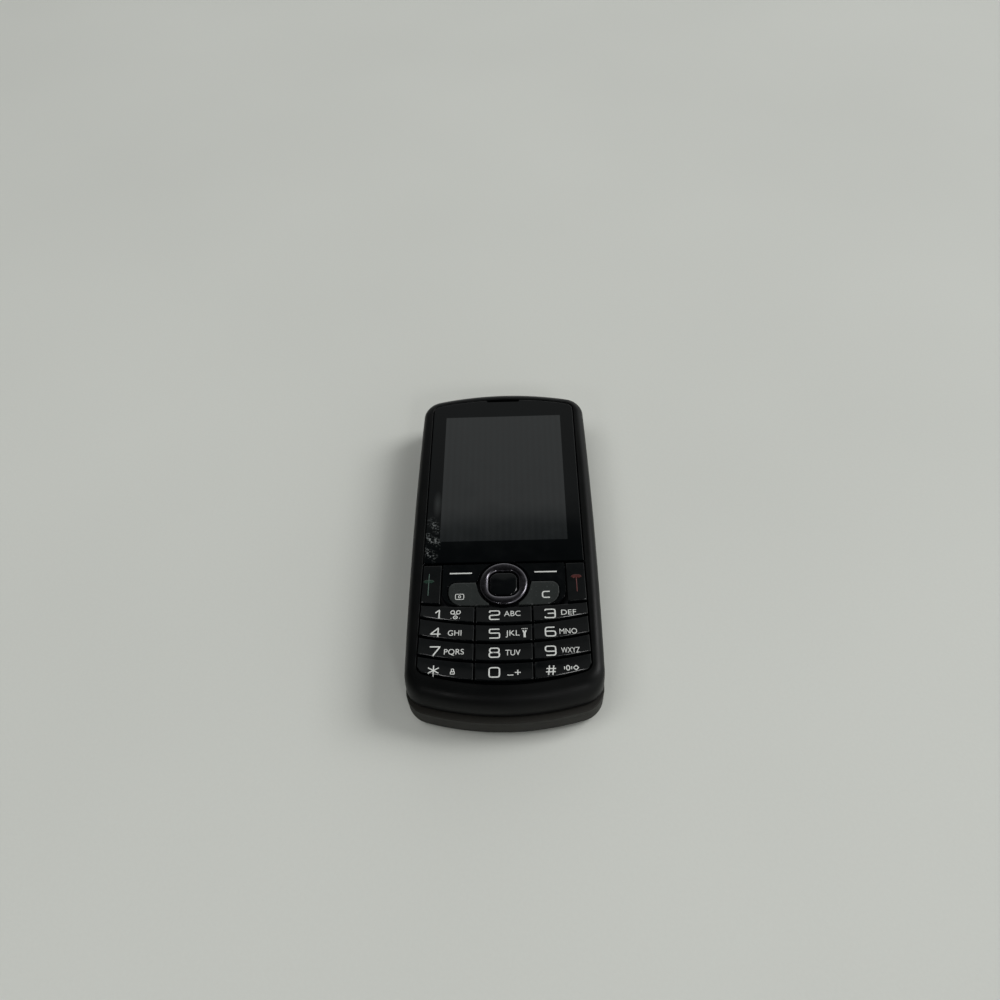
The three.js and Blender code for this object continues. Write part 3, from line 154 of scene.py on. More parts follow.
class PhoneKeySizes(bpy.types.PropertyGroup):
    """Keys and their legends"""

    pitch: length("Row pitch", "Distance between the rows of number keys", 5.55)
    middle: length("Middle column", "Width of the middle column", 15.4)
    gap: length("Gap", "Gap between keys", 0.45)
    first_bow: length("First bow", "Radius of the number pad's upper edge", 245)
    row_bow: length("Row bow", "Radius of the lines between rows", 105)
    last_bow: length("Last bow", "Radius of the number pad's lower edge", 80)
    navigation: length("Navigation height", "Height of the block round the ring", 14)
    bevel: length("Bevel", "Radius of a key's edges", 0.22)
    drop: length("Drop", "How far a key's upper edge lies below the face", 0.15)
    ridge: length("Ridge", "How far a key's ridge stands above the face", 0.35)
    ridge_depth: length("Ridge depth", "From a key's lower edge to its ridge", 0.3)
    ridge_chamfer: length("Ridge chamfer", "Chamfer on a key's ridge", 0.22)
    ridge_slope: IntProperty(name="Ridge slope", description="Fall over run of a key's front", default=4)
    call_width: length("Call key width", "Width of the send and end keys", 5.1)
    cluster_corner: length("Cluster corner", "Radius of the soft keys' outer corner", 4)
    leg: length("Leg", "Width of the soft keys' strip outside the plate keys", 1.5)
    soft_height: length("Soft key height", "From the window to the plate keys", 6.16)
    plate_corner: length("Plate corner", "Radius of the plate keys' lower corner", 3.6)
    plate_shoulder: length("Plate shoulder", "Radius of the plate keys' upper corner", 2.2)
    plate_rise: length("Plate rise", "How far the plate keys stand above the face", 0.2)
    ring_radius: length("Ring radius", "Radius of the navigation ring", 6.7)
    groove: length("Groove", "Gap round the navigation ring", 0.7)
    centre_width: length("Centre width", "Width of the centre key", 7.6)
    centre_height: length("Centre height", "Height of the centre key", 7.2)
    centre_corner: length("Centre corner", "Radius of the centre key's corners", 2.2)
    level_at: length("Level at", "Where the outer columns' digits take their height from the row's curve", 8)
    digit: length("Digit height", "Height of the digits", 2.75)
    digit_width: length("Digit width", "Width of the digits", 2.65)
    stroke: length("Stroke", "Width of a digit's stroke", 0.4)
    letter: length("Letter height", "Height of the letters beside the digits", 1.75)
    ink: length("Ink", "How far the ink stands proud", 0.03)


class PhoneBaseSizes(bpy.types.PropertyGroup):
    """Base half"""

    edge_round: length("Edge round", "Radius of the back's edge", 2.5)
    wall: length("Wall", "Wall of the base half", 1.5)
    corner: length("Corner", "Radius of the base half's corners", 6.8)
    top_bow: length("Top bow", "Radius of the upper end's curve", 95)
    bottom_bow: length("Bottom bow", "Radius of the lower end's curve", 80)
    cover_floor: length("Cover floor", "Thickness of the battery cover", 1)
    cover_wall: length("Cover wall", "Wall of the battery cover", 1.2)
    parting: length("Parting line", "Width of the line between two shells", 0.06)
    rib: length("Rib", "Thickness of the walls between bays", 1.2)
    skin: length("Skin", "Back wall under the top bay, over the cover's thickness", 0.5)
    boss: length("Boss", "Radius of a screw's boss", 2.3)
    shaft: length("Shaft", "Radius of a screw's shaft", 0.8)
    pad_lip: length("Pad lip", "How far the letter pad's sheet runs under the deck", 0.6)
    pad_corner: length("Pad corner", "Radius of the letter pad's opening", 2)
    key_gap: length("Letter key gap", "Gap between the letter keys", 0.7)
    key_round: length("Letter key round", "Radius of the letter keys' edges", 0.28)
    letter: length("Letter height", "Height of the letters on the letter pad", 2.3)
    sound_slot: length("Sound slot", "Width of the loudspeaker's slots", 0.8)
    sound_length: length("Sound slot length", "Length of the loudspeaker's slots", 5)
    sound_pitch: length("Sound slot pitch", "Distance between the loudspeaker's slots", 2)
    grip_pitch: length("Grip pitch", "Distance between the cover's grip grooves", 1.4)
    grip_depth: length("Grip depth", "Depth of the cover's grip grooves", 0.2)
    rows: IntProperty(name="Rows", description="Rows of letter keys", default=4, min=1)
    columns: IntProperty(name="Columns", description="Columns of letter keys", default=11, min=1)


class PhoneColours(bpy.types.PropertyGroup):
    """Colours"""

    bezel: colour("Bezel", "Matte front moulding", "#0a0b0b")
    base: colour("Base", "Coated base half", "#272623")
    lens: colour("Window", "Black print behind the window", "#040607")
    panel: colour("Display", "Switched-off display", "#1a1d1e")
    key: colour("Keys", "Gloss keys", "#050708")
    plate: colour("Plate keys", "Camera and clear keys", "#2b2e2d")
    ring: colour("Ring", "Metallised navigation ring", "#5d5b61")
    legend: colour("Legends", "Printed legends", "#d6d8d4")
    send: colour("Send mark", "Mark on the send key", "#0c2a1e")
    end: colour("End mark", "Mark on the end key", "#43110c")
    floor: colour("Floor", "Surface that the phone lies on", "#d3d5cf")


class PhoneStageSettings(bpy.types.PropertyGroup):
    """Stage"""

    lens: FloatProperty(name="Lens", description="Focal length in millimetres", default=28.8, min=1)
    key_power: power("Key lamp", "Power of the soft lamp", 80)
    top_power: power("Top lamp", "Power of the lamp above", 17)
    fill_power: power("Fill lamps", "Power of the fill lamps", 1)
    world: FloatProperty(name="World", description="Strength of the surroundings", default=1, min=0)
    shade: FloatProperty(name="Shade", description="Share of them on the dark side", default=0.12, min=0)
    floor_size: FloatProperty(name="Floor", description="Width of the floor", default=4, unit="LENGTH")


def in_mm(group):
    """A property group's lengths in millimetres, and its counts as they are."""
    values = {key: getattr(group, key) for key in group.__annotations__}
    return SimpleNamespace(**{k: v if isinstance(v, int) else v / MM for k, v in values.items()})


# Outlines, in millimetres, counter-clockwise from above


def arc(middle, radius, start, end, steps):
    """Points of an arc between two angles."""
    angles = np.linspace(start, end, steps + 1)
    return [(middle[0] + radius * math.cos(a), middle[1] + radius * math.sin(a)) for a in angles]


def end_curve(width, y, bow, corner, steps):
    """The upper end of an outline, from right to left: a corner, a bowed edge and a corner."""
    corner_x = width - corner
    bow_y = y - bow
    corner_y = bow_y + math.sqrt((bow - corner) ** 2 - corner_x**2)
    lean = math.acos(corner_x / (bow - corner))
    right = arc((corner_x, corner_y), corner, 0, lean, steps)
    edge = arc((0, bow_y), bow, lean, math.pi - lean, steps * 2)
    left = [(-x, h) for x, h in reversed(right)]
    return [*right, *edge[1:-1], *left]


def shape(width, top, bottom, side_bow=0.0):
    """An outline's sizes. Each end is its height, its bow and its corner."""
    return {"width": width, "top": top, "bottom": bottom, "side_bow": side_bow}


def drawn_in(form, side, top=None, bottom=None):
    """The same shape, drawn in at its sides and ends."""
    top = side if top is None else top
    bottom = side if bottom is None else bottom
    (top_y, top_bow, top_corner), (low_y, low_bow, low_corner) = form["top"], form["bottom"]
    return shape(
        form["width"] - side,
        (top_y - top, top_bow - top, max(top_corner - side, LEAST_CORNER)),
        (low_y + bottom, low_bow - bottom, max(low_corner - side, LEAST_CORNER)),
        form["side_bow"],
    )


def outline(form, steps=12, side_steps=16):
    """The closed outline of a shape."""
    upper = end_curve(form["width"], *form["top"], steps)
    low_y, low_bow, low_corner = form["bottom"]
    lower = [(x, -y) for x, y in reversed(end_curve(form["width"], -low_y, low_bow, low_corner, steps))]
    heights = np.linspace(lower[-1][1], upper[0][1], side_steps + 1)[1:-1]
    right = [(form["width"], y) for y in heights]
    left = [(-x, y) for x, y in reversed(right)]
    middle = (form["top"][0] + form["bottom"][0]) / 2
    half = (form["top"][0] - form["bottom"][0]) / 2
    bow = form["side_bow"] / form["width"]
    points = [*upper, *left, *lower, *right]
    return [(x * (1 - bow * ((y - middle) / half) ** 2), y) for x, y in points]


def round_box(xs, ys, corner, steps=8):
    """A rectangle with round corners."""
    (x0, x1), (y0, y1) = xs, ys
    middles = [(x1 - corner, y1 - corner), (x0 + corner, y1 - corner)]
    middles += [(x0 + corner, y0 + corner), (x1 - corner, y0 + corner)]
    quarter = math.pi / 2
    corners = [arc(m, corner, i * quarter, (i + 1) * quarter, steps) for i, m in enumerate(middles)]
    return [point for corner_points in corners for point in corner_points]


def at_height(points, z):
    """The same points at a height."""
    return [(point[0], point[1], z) for point in points]


def round_off(radius, along):
    """How far a round edge is drawn in at a distance along it, up to its radius."""
    return radius - math.sqrt(radius**2 - min(along, radius) ** 2)


def around(middle, size):
    """The two ends of a size about a middle."""
    return middle - size / 2, middle + size / 2


def widened(span, by):
    """A span that is longer at both ends."""
    return span[0] - by, span[1] + by


def rounding(radius, steps=4):
    """A round edge from its foot to its top: how far in each step is, and how far below the top."""
    turns = np.linspace(0, math.pi / 2, steps + 1)
    return [(radius * (1 - math.cos(turn)), radius * (1 - math.sin(turn))) for turn in turns]


def walls(rings, hoop=False):
    """Vertices and faces between neighbouring rings of as many points. A hoop's last ring meets its first."""
    count, levels = len(rings[0]), len(rings)
    points = [point for ring in rings for point in ring]
    faces = []
    for level in range(levels if hoop else levels - 1):
        low, high = level * count, (level + 1) % levels * count
        for i in range(count):
            after = (i + 1) % count
            faces.append((low + i, low + after, high + after, high + i))
    return points, faces


def loft(rings):
    """Vertices and faces of a closed solid through rings of as many points each, lowest first."""
    points, faces = walls(rings)
    count = len(rings[0])
    faces += [tuple(reversed(range(count))), tuple(range(len(points) - count, len(points)))]
    return points, faces


def prism(points, heights):
    """A straight solid on an outline."""
    return loft([at_height(points, z) for z in heights])


def box(xs, ys, zs):
    """A block between two places on each axis."""
    return prism([(xs[0], ys[0]), (xs[1], ys[0]), (xs[1], ys[1]), (xs[0], ys[1])], zs)


def turned(middle, profile, steps=40):
    """An upright turned solid, from its radius and height at each step."""
    return loft([at_height(arc(middle, radius, 0, 2 * math.pi, steps)[:-1], z) for radius, z in profile])


def drum(middle, radius, heights, steps=40):
    """An upright cylinder."""
    return turned(middle, [(radius, z) for z in heights], steps)


def flared(form, foot, lip):
    """A cutter on a shape that opens at the face by a small chamfer."""
    return loft([
        at_height(outline(form), foot),
        at_height(outline(form), FACE - lip),
        at_height(outline(drawn_in(form, -lip - PAST)), FACE + PAST),
    ])


# Objects


def linked(name, data):
    """A new object in the scene."""
    made = bpy.data.objects.new(name, data)
    bpy.context.scene.collection.objects.link(made)
    return made


def new_object(name, points, faces):
    """An object whose mesh is given in millimetres."""
    mesh = bpy.data.meshes.new(name)
    mesh.from_pydata([Vector(point) * MM for point in points], [], faces)
    mesh.update()
    return linked(name, mesh)


def settle(piece):
    """Turns an object's modifiers into its mesh."""
    bpy.context.view_layer.update()
    graph = bpy.context.evaluated_depsgraph_get()
    mesh = bpy.data.meshes.new_from_object(piece.evaluated_get(graph), depsgraph=graph)
    old = piece.data
    piece.modifiers.clear()
    if piece.type == "MESH":
        piece.data = mesh
        bpy.data.meshes.remove(old)
        return piece
    made = linked(piece.name + "_mesh", mesh)
    bpy.data.objects.remove(piece)
    return made


def carve(piece, cutters, operation="DIFFERENCE"):
    """Cuts solids out of a piece, or joins them to it."""
    tools = [cut if isinstance(cut, bpy.types.Object) else new_object("cutter", *cut) for cut in cutters]
    for tool in tools:
        cut = piece.modifiers.new("cut", "BOOLEAN")
        cut.operation = operation
        cut.solver = "EXACT"
        cut.object = tool
    settle(piece)
    for tool in tools:
        bpy.data.objects.remove(tool)
    return piece


def soften(piece, width):
    """Rounds a piece's sharp edges."""
    bevel = piece.modifiers.new("soften", "BEVEL")
    bevel.width = width * MM
    bevel.segments = 3
    bevel.limit_method = "ANGLE"
    bevel.angle_limit = math.radians(40)
    bevel.harden_normals = False
    return settle(piece)


def smooth(piece, angle=35):
    """Merges doubles, shades smooth up to an angle and lets large faces lead."""
    mesh = bmesh.new()
    mesh.from_mesh(piece.data)
    bmesh.ops.remove_doubles(mesh, verts=mesh.verts, dist=MM / 500)
    bmesh.ops.dissolve_degenerate(mesh, edges=mesh.edges, dist=MM / 1000)
    mesh.to_mesh(piece.data)
    mesh.free()
    piece.data.polygons.foreach_set("use_smooth", [True] * len(piece.data.polygons))
    piece.data.set_sharp_from_angle(angle=math.radians(angle))
    weight = piece.modifiers.new("weight", "WEIGHTED_NORMAL")
    weight.keep_sharp = True
    return settle(piece)


def joined(piece, others):
    """Joins other objects into a piece, which keeps its name."""
    every = [piece, *others]
    with bpy.context.temp_override(
        active_object=piece, object=piece, selected_objects=every, selected_editable_objects=every,
    ):
        bpy.ops.object.join()
    return piece


def dress(piece, *finishes):
    """Gives a piece its materials, the first for the faces that have none of their own."""
    piece.data.materials.clear()
    for finish in finishes:
        piece.data.materials.append(finish)
    return piece


def place(piece, body, slot, *nodes):
    """Names a piece, lets it move with its body and lets it stand for its CAD nodes."""
    piece.name = f"{nodes[0]}_fine"
    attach(piece, body)
    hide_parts(*nodes)
    return piece


# Materials


def add(tree, kind, inputs=None, **values):
    """Adds a node to a tree. Inputs are constants or other nodes' outputs, by name or place."""
    made = tree.nodes.new(kind)
    for key, value in values.items():
        setattr(made, key, value)
    for key, value in (inputs or {}).items():
        if isinstance(value, bpy.types.NodeSocket):
            tree.links.new(value, made.inputs[key])
        else:
            made.inputs[key].default_value = value
    return made


def surface(name, tint, roughness, metallic=0.0, **sockets):
    """A material with one Principled shader, its tree and its Object coordinates."""
    finish = bpy.data.materials.new(name)
    finish.use_nodes = True
    tree = finish.node_tree
    shader = tree.nodes["Principled BSDF"]
    shader.inputs["Base Color"].default_value = (*tint, 1)
    shader.inputs["Roughness"].default_value = roughness
    shader.inputs["Metallic"].default_value = metallic
    for key, value in sockets.items():
        shader.inputs[key.replace("_", " ")].default_value = value
    place_of = add(tree, "ShaderNodeTexCoord").outputs["Object"]
    return finish, tree, shader, place_of


def per_mm(size):
    """A texture scale whose features are about that many millimetres wide."""
    return 1 / (size * MM)


def grain(tree, shader, where, size, depth, detail=3.0):
    """Raises a moulded or blasted grain of a size and a depth in millimetres."""
    noise = add(tree, "ShaderNodeTexNoise", {"Vector": where, "Scale": per_mm(size), "Detail": detail})
    height = noise.outputs["Fac"]
    bump = add(tree, "ShaderNodeBump", {"Height": height, "Distance": depth * MM, "Strength": 1.0})
    tree.links.new(bump.outputs["Normal"], shader.inputs["Normal"])
    return height


def vary(tree, shader, where, size, low, high):
    """Lets the roughness drift between two values over patches of a size."""
    noise = add(tree, "ShaderNodeTexNoise", {"Vector": where, "Scale": per_mm(size), "Detail": 4.0})
    spread = add(tree, "ShaderNodeMapRange", {
        "Value": noise.outputs["Fac"], "From Min": 0.3, "From Max": 0.7, "To Min": low, "To Max": high,
    })
    tree.links.new(spread.outputs["Result"], shader.inputs["Roughness"])


def tinted(tree, shader, amount, first, second):
    """Mixes two colours by an amount into the shader's colour."""
    mix = add(tree, "ShaderNodeMix", {
        "Factor": amount, "A": (*first, 1), "B": (*second, 1),
    }, data_type="RGBA")
    tree.links.new(mix.outputs["Result"], shader.inputs["Base Color"])


def scaled(tint, by):
    """A colour made darker or lighter."""
    return tuple(min(part * by, 1) for part in tint)


def grained(name, tint, roughness, size, depth, dark, light, **sockets):
    """A material that its grain raises and tints between a darker and a lighter shade."""
    finish, tree, shader, where = surface(name, tint, roughness, **sockets)
    tinted(tree, shader, grain(tree, shader, where, size, depth), scaled(tint, dark), scaled(tint, light))
    return finish


def moulded_plastic(name, tint, roughness, grain_size=0.35, grain_depth=0.012):
    """Spark-eroded ABS: an even, fine dull grain with faint polish where hands rub it."""
    finish, tree, shader, where = surface(name, tint, roughness, Specular_IOR_Level=0.14)
    rough = grain(tree, shader, where, grain_size, grain_depth)
    vary(tree, shader, where, 9, roughness - 0.07, roughness + 0.08)
    tinted(tree, shader, rough, scaled(tint, 0.86), scaled(tint, 1.14))
    return finish


def coated_plastic(name, tint):
    """ABS under a satin paint with a fine metallic flake: soft sheen with small bright specks."""
    finish, tree, shader, where = surface(name, tint, 0.6, 0.1, Specular_IOR_Level=0.2)
    grain(tree, shader, where, 0.28, 0.006)
    vary(tree, shader, where, 12, 0.54, 0.66)
    flakes = add(tree, "ShaderNodeTexVoronoi", {"Vector": where, "Scale": per_mm(0.3)})
    specks = add(tree, "ShaderNodeMapRange", {
        "Value": flakes.outputs["Distance"], "From Min": 0.0, "From Max": 0.5, "To Min": 1.0, "To Max": 0.0,
    })
    tinted(tree, shader, specks.outputs["Result"], scaled(tint, 0.92), scaled(tint, 1.18))
    return finish


# Finger marks on the window: middle and half size in millimetres, the shares of it at which they are full
# and gone, and strength
SMEARS = [((-20.8, -4.0), (2.6, 8.0), 0.35, 1.15, 1.0), ((-19.6, 9.2), (1.3, 4.8), 0.1, 1.1, 0.05)]


def polished_window(name, tint, level=0.5, coat=0.0, pixels=0.0):
    """Polished acrylic over print: mirror gloss, with thumb marks at its lower left and faint finger film."""
    sockets = {"Specular_IOR_Level": level, "Coat_Weight": coat, "Coat_Roughness": 0.04}
    finish, tree, shader, where = surface(name, tint, 0.05, **sockets)
    near = []
    for (x, y), (width, height), inner, outer, strength in SMEARS:
        mark = add(tree, "ShaderNodeMapping", {
            "Vector": where, "Location": (-x / width, -y / height, 0.0),
            "Scale": (per_mm(width), per_mm(height), 0.0),
        })
        away = add(tree, "ShaderNodeVectorMath", {0: mark.outputs["Vector"]}, operation="LENGTH")
        near.append(add(tree, "ShaderNodeMapRange", {
            "Value": away.outputs["Value"], "From Min": inner, "From Max": outer,
            "To Min": strength, "To Max": 0.0,
        }).outputs["Result"])
    whorl = add(tree, "ShaderNodeTexWave", {
        "Vector": where, "Scale": per_mm(9.5), "Distortion": 3.5, "Detail": 3.0, "Detail Scale": 1.5,
    }, wave_type="BANDS", bands_direction="DIAGONAL")
    broken = add(tree, "ShaderNodeTexNoise", {"Vector": where, "Scale": per_mm(0.55), "Detail": 5.0})
    specks = add(tree, "ShaderNodeMapRange", {
        "Value": broken.outputs["Fac"], "From Min": 0.5, "From Max": 0.78, "To Max": 0.8,
    })
    lines = add(tree, "ShaderNodeMath", {
        0: whorl.outputs["Fac"], 1: specks.outputs["Result"],
    }, operation="MULTIPLY")
    seen = add(tree, "ShaderNodeMath", {
        0: lines.outputs[0], 1: near[0], 2: near[1],
    }, operation="MULTIPLY_ADD")
    grease = add(tree, "ShaderNodeTexNoise", {"Vector": where, "Scale": per_mm(7), "Detail": 3.0})
    finger_film = add(tree, "ShaderNodeMapRange", {
        "Value": grease.outputs["Fac"], "From Min": 0.4, "From Max": 0.7, "To Min": 0.04, "To Max": 0.14,
    })
    dull = add(tree, "ShaderNodeMath", {
        0: seen.outputs[0], 1: 0.4, 2: finger_film.outputs["Result"],
    }, operation="MULTIPLY_ADD")
    tree.links.new(dull.outputs[0], shader.inputs["Roughness"])
    ground = (*tint, 1)
    if pixels:
        cells = add(tree, "ShaderNodeTexWave", {"Vector": where, "Scale": per_mm(pixels * 20)})
        ground = add(tree, "ShaderNodeMix", {
            "Factor": cells.outputs["Fac"], "A": (*scaled(tint, 0.9), 1), "B": (*scaled(tint, 1.1), 1),
        }, data_type="RGBA").outputs["Result"]
    mix = add(tree, "ShaderNodeMix", {
        "Factor": seen.outputs[0], "A": ground, "B": (*srgb("#b4b9b8"), 1),
    }, data_type="RGBA")
    tree.links.new(mix.outputs["Result"], shader.inputs["Base Color"])
    return finish


def gloss_keycap(name, tint, roughness=0.12):
    """Polycarbonate keycap, moulded in a polished tool: deep gloss with a faint flow and a little dust."""
    sockets = {"Coat_Weight": 0.22, "Coat_Roughness": 0.06, "Specular_IOR_Level": 0.38}
    finish, tree, shader, where = surface(name, tint, roughness, **sockets)
    grain(tree, shader, where, 3.5, 0.02, 2.0)
    vary(tree, shader, where, 2.5, roughness - 0.04, roughness + 0.1)
    dust = add(tree, "ShaderNodeTexNoise", {"Vector": where, "Scale": per_mm(0.5), "Detail": 6.0})
    settled = add(tree, "ShaderNodeMapRange", {
        "Value": dust.outputs["Fac"], "From Min": 0.62, "From Max": 0.8, "To Min": 0.0, "To Max": 0.35,
    })
    tinted(tree, shader, settled.outputs["Result"], tint, scaled(tint, 6))
    return finish


def metallised_plastic(name, tint):
    """Plastic with a vapour-deposited metal skin: bright, smooth and slightly uneven."""
    finish, tree, shader, where = surface(name, tint, 0.24, 1.0, Coat_Weight=0.4, Coat_Roughness=0.05)
    grain(tree, shader, where, 2.2, 0.03, 2.0)
    vary(tree, shader, where, 1.4, 0.17, 0.32)
    return finish


def printed_ink(name, tint):
    """Screen-printed ink, or lettering lasered out of the paint: flat, clean and nearly matte."""
    return grained(name, tint, 0.42, 0.2, 0.003, 0.9, 1.05)


def stamped_steel(name, tint, roughness=0.32, brush=0.12):
    """Rolled and stamped stainless sheet: fine streaks along the roll."""
    finish, tree, shader, where = surface(name, tint, roughness, 1.0)
    along = add(tree, "ShaderNodeMapping", {"Vector": where, "Scale": (1.0, 0.04, 1.0)})
    streaks = grain(tree, shader, along.outputs["Vector"], brush, 0.004)
    vary(tree, shader, where, 6, roughness - 0.08, roughness + 0.1)
    tinted(tree, shader, streaks, scaled(tint, 0.85), scaled(tint, 1.1))
    return finish


def circuit_laminate(name, tint):
    """Glass-epoxy laminate under solder mask: satin green with copper tracks showing as ridges."""
    finish, tree, shader, where = surface(name, tint, 0.38)
    tracks = add(tree, "ShaderNodeTexBrick", {
        "Vector": where, "Scale": per_mm(9), "Color1": (1, 1, 1, 1), "Color2": (0.4, 0.4, 0.4, 1),
        "Mortar": (0, 0, 0, 1), "Mortar Size": 0.03,
    })
    bump = add(tree, "ShaderNodeBump", {"Height": tracks.outputs["Fac"], "Distance": 0.05 * MM})
    tree.links.new(bump.outputs["Normal"], shader.inputs["Normal"])
    tinted(tree, shader, tracks.outputs["Fac"], tint, scaled(tint, 0.45))
    return finish


def film(name, tint, size=1.5):
    """Thin polymer film: satin, with slow waves from its glue."""
    return grained(name, tint, 0.3, size, 0.03, 0.88, 1.1, Coat_Weight=0.3)


def silicone(name, tint):
    """Moulded silicone rubber: soft, dull and very slightly dusty."""
    return grained(name, tint, 0.62, 0.25, 0.01, 0.85, 1.2, Specular_IOR_Level=0.35, Sheen_Weight=0.15)


def laid_surface(name, tint):
    """Painted board or laminate top: pale, dull and faintly mottled."""
    finish, tree, shader, where = surface(name, tint, 0.62, Specular_IOR_Level=0.3)
    noise = grain(tree, shader, where, 0.9, 0.02)
    wide = add(tree, "ShaderNodeTexNoise", {"Vector": where, "Scale": per_mm(160), "Detail": 2.0})
    both = add(tree, "ShaderNodeMath", {0: noise, 1: 0.35, 2: wide.outputs["Fac"]}, operation="MULTIPLY_ADD")
    tinted(tree, shader, both.outputs[0], scaled(tint, 0.93), scaled(tint, 1.04))
    return finish


FINISHES = {}


def make_finishes(colours):
    """Makes every material once."""
    FINISHES.update(
        bezel=moulded_plastic("spark_eroded_abs", colours.bezel, 0.38),
        base=coated_plastic("satin_coated_abs", colours.base),
        lens=polished_window("polished_acrylic_black_print", colours.lens),
        panel=polished_window("polished_acrylic_over_display", colours.panel, 1.0, 1.0, pixels=0.3),
        key=gloss_keycap("gloss_polycarbonate", colours.key),
        plate=gloss_keycap("gloss_smoked_polycarbonate", colours.plate, 0.2),
        ring=metallised_plastic("metallised_abs", colours.ring),
        legend=printed_ink("printed_white_ink", colours.legend),
        send=printed_ink("printed_green_ink", colours.send),
        end=printed_ink("printed_red_ink", colours.end),
        send_bar=printed_ink("printed_pale_green_ink", srgb("#465a52")),
        end_bar=printed_ink("printed_pale_red_ink", srgb("#612d2b")),
        steel=stamped_steel("stamped_stainless_steel", srgb("#b4b4b1")),
        blackened=stamped_steel("blackened_screw_steel", srgb("#3c3b3a"), 0.36, 0.3),
        gold=stamped_steel("gold_plated_brass", srgb("#c8a25a"), 0.24, 0.2),
        black=moulded_plastic("black_pbt", srgb("#121314"), 0.4, 0.5),
        board=circuit_laminate("solder_masked_laminate", srgb("#1c4a2e")),
        domes=film("polyester_dome_film", srgb("#c9c4a6")),
        wrap=film("printed_battery_wrap", srgb("#4b4d51"), 3.0),
        flex=film("polyimide_film", srgb("#8f5220")),
        silicone=silicone("moulded_silicone", srgb("#26272a")),
        rubber=silicone("letter_pad_silicone", srgb("#2f3032")),
        glass=polished_window("coated_camera_glass", srgb("#0a0b10")),
        gauze=stamped_steel("woven_black_gauze", srgb("#262626"), 0.5, 0.1),
        screen=laid_surface("painted_board", colours.floor),
    )


# Geometry node trees


def repeat_tree():
    """A tree that puts a piece on every point of a grid, and gives the copies a finish."""
    tree = bpy.data.node_groups.new("repeat_on_grid", "GeometryNodeTree")
    sockets = {
        "Piece": "NodeSocketObject", "Finish": "NodeSocketMaterial", "Middle": "NodeSocketVector",
        "Width": "NodeSocketFloat", "Height": "NodeSocketFloat",
        "Columns": "NodeSocketInt", "Rows": "NodeSocketInt",
    }
    for name, kind in sockets.items():
        tree.interface.new_socket(name, in_out="INPUT", socket_type=kind)
    tree.interface.new_socket("Geometry", in_out="OUTPUT", socket_type="NodeSocketGeometry")
    given = add(tree, "NodeGroupInput").outputs
    grid = add(tree, "GeometryNodeMeshGrid", {
        "Size X": given["Width"], "Size Y": given["Height"],
        "Vertices X": given["Columns"], "Vertices Y": given["Rows"],
    })
    moved = add(tree, "GeometryNodeTransform", {
        "Geometry": grid.outputs["Mesh"], "Translation": given["Middle"],
    })
    info = add(tree, "GeometryNodeObjectInfo", {"Object": given["Piece"], "As Instance": True})
    copies = add(tree, "GeometryNodeInstanceOnPoints", {
        "Points": moved.outputs["Geometry"], "Instance": info.outputs["Geometry"],
    })
    real = add(tree, "GeometryNodeRealizeInstances", {"Geometry": copies.outputs["Instances"]})
    painted = add(tree, "GeometryNodeSetMaterial", {
        "Geometry": real.outputs["Geometry"], "Material": given["Finish"],
    })
    add(tree, "NodeGroupOutput", {"Geometry": painted.outputs["Geometry"]})
    return tree


def repeated(name, piece, finish, middle, size, counts):
    """Copies of a piece on a grid, as one mesh. The piece itself is used up."""
    tree = bpy.data.node_groups.get("repeat_on_grid") or repeat_tree()
    holder = new_object(name, [], [])
    nodes = holder.modifiers.new("repeat", "NODES")
    nodes.node_group = tree
    values = {
        "Piece": piece, "Finish": finish, "Middle": [part * MM for part in middle],
        "Width": size[0] * MM, "Height": size[1] * MM, "Columns": counts[0], "Rows": counts[1],
    }
    for item in tree.interface.items_tree:
        if item.in_out == "INPUT":
            nodes[item.identifier] = values[item.name]
    settle(holder)
    bpy.data.objects.remove(piece)
    return holder


# Lettering


def rounded(points, radius, closed=False, steps=5):
    """A path whose corners are rounded as far as its sides allow."""
    count = len(points)
    path = []
    for i, point in enumerate(points):
        if not closed and i in (0, count - 1):
            path.append(point)
            continue
        here = Vector(point)
        before, after = Vector(points[i - 1]) - here, Vector(points[(i + 1) % count]) - here
        cut = min(radius, before.length / 2, after.length / 2)
        start, end = here + before.normalized() * cut, here + after.normalized() * cut
        for t in np.linspace(0, 1, steps + 1):
            path.append(tuple(start * (1 - t) ** 2 + here * 2 * t * (1 - t) + end * t**2))
    return path


def divided(path, step, closed):
    """A path with points at least every step, so that it can follow a curved surface."""
    points = []
    for here, after in zip(path, [*path[1:], *(path[:1] if closed else [])]):
        here, after = Vector(here), Vector(after)
        count = max(math.ceil((after - here).length / step), 1)
        points += [here.lerp(after, i / count) for i in range(count)]
    return points if closed else [*points, Vector(path[-1])]


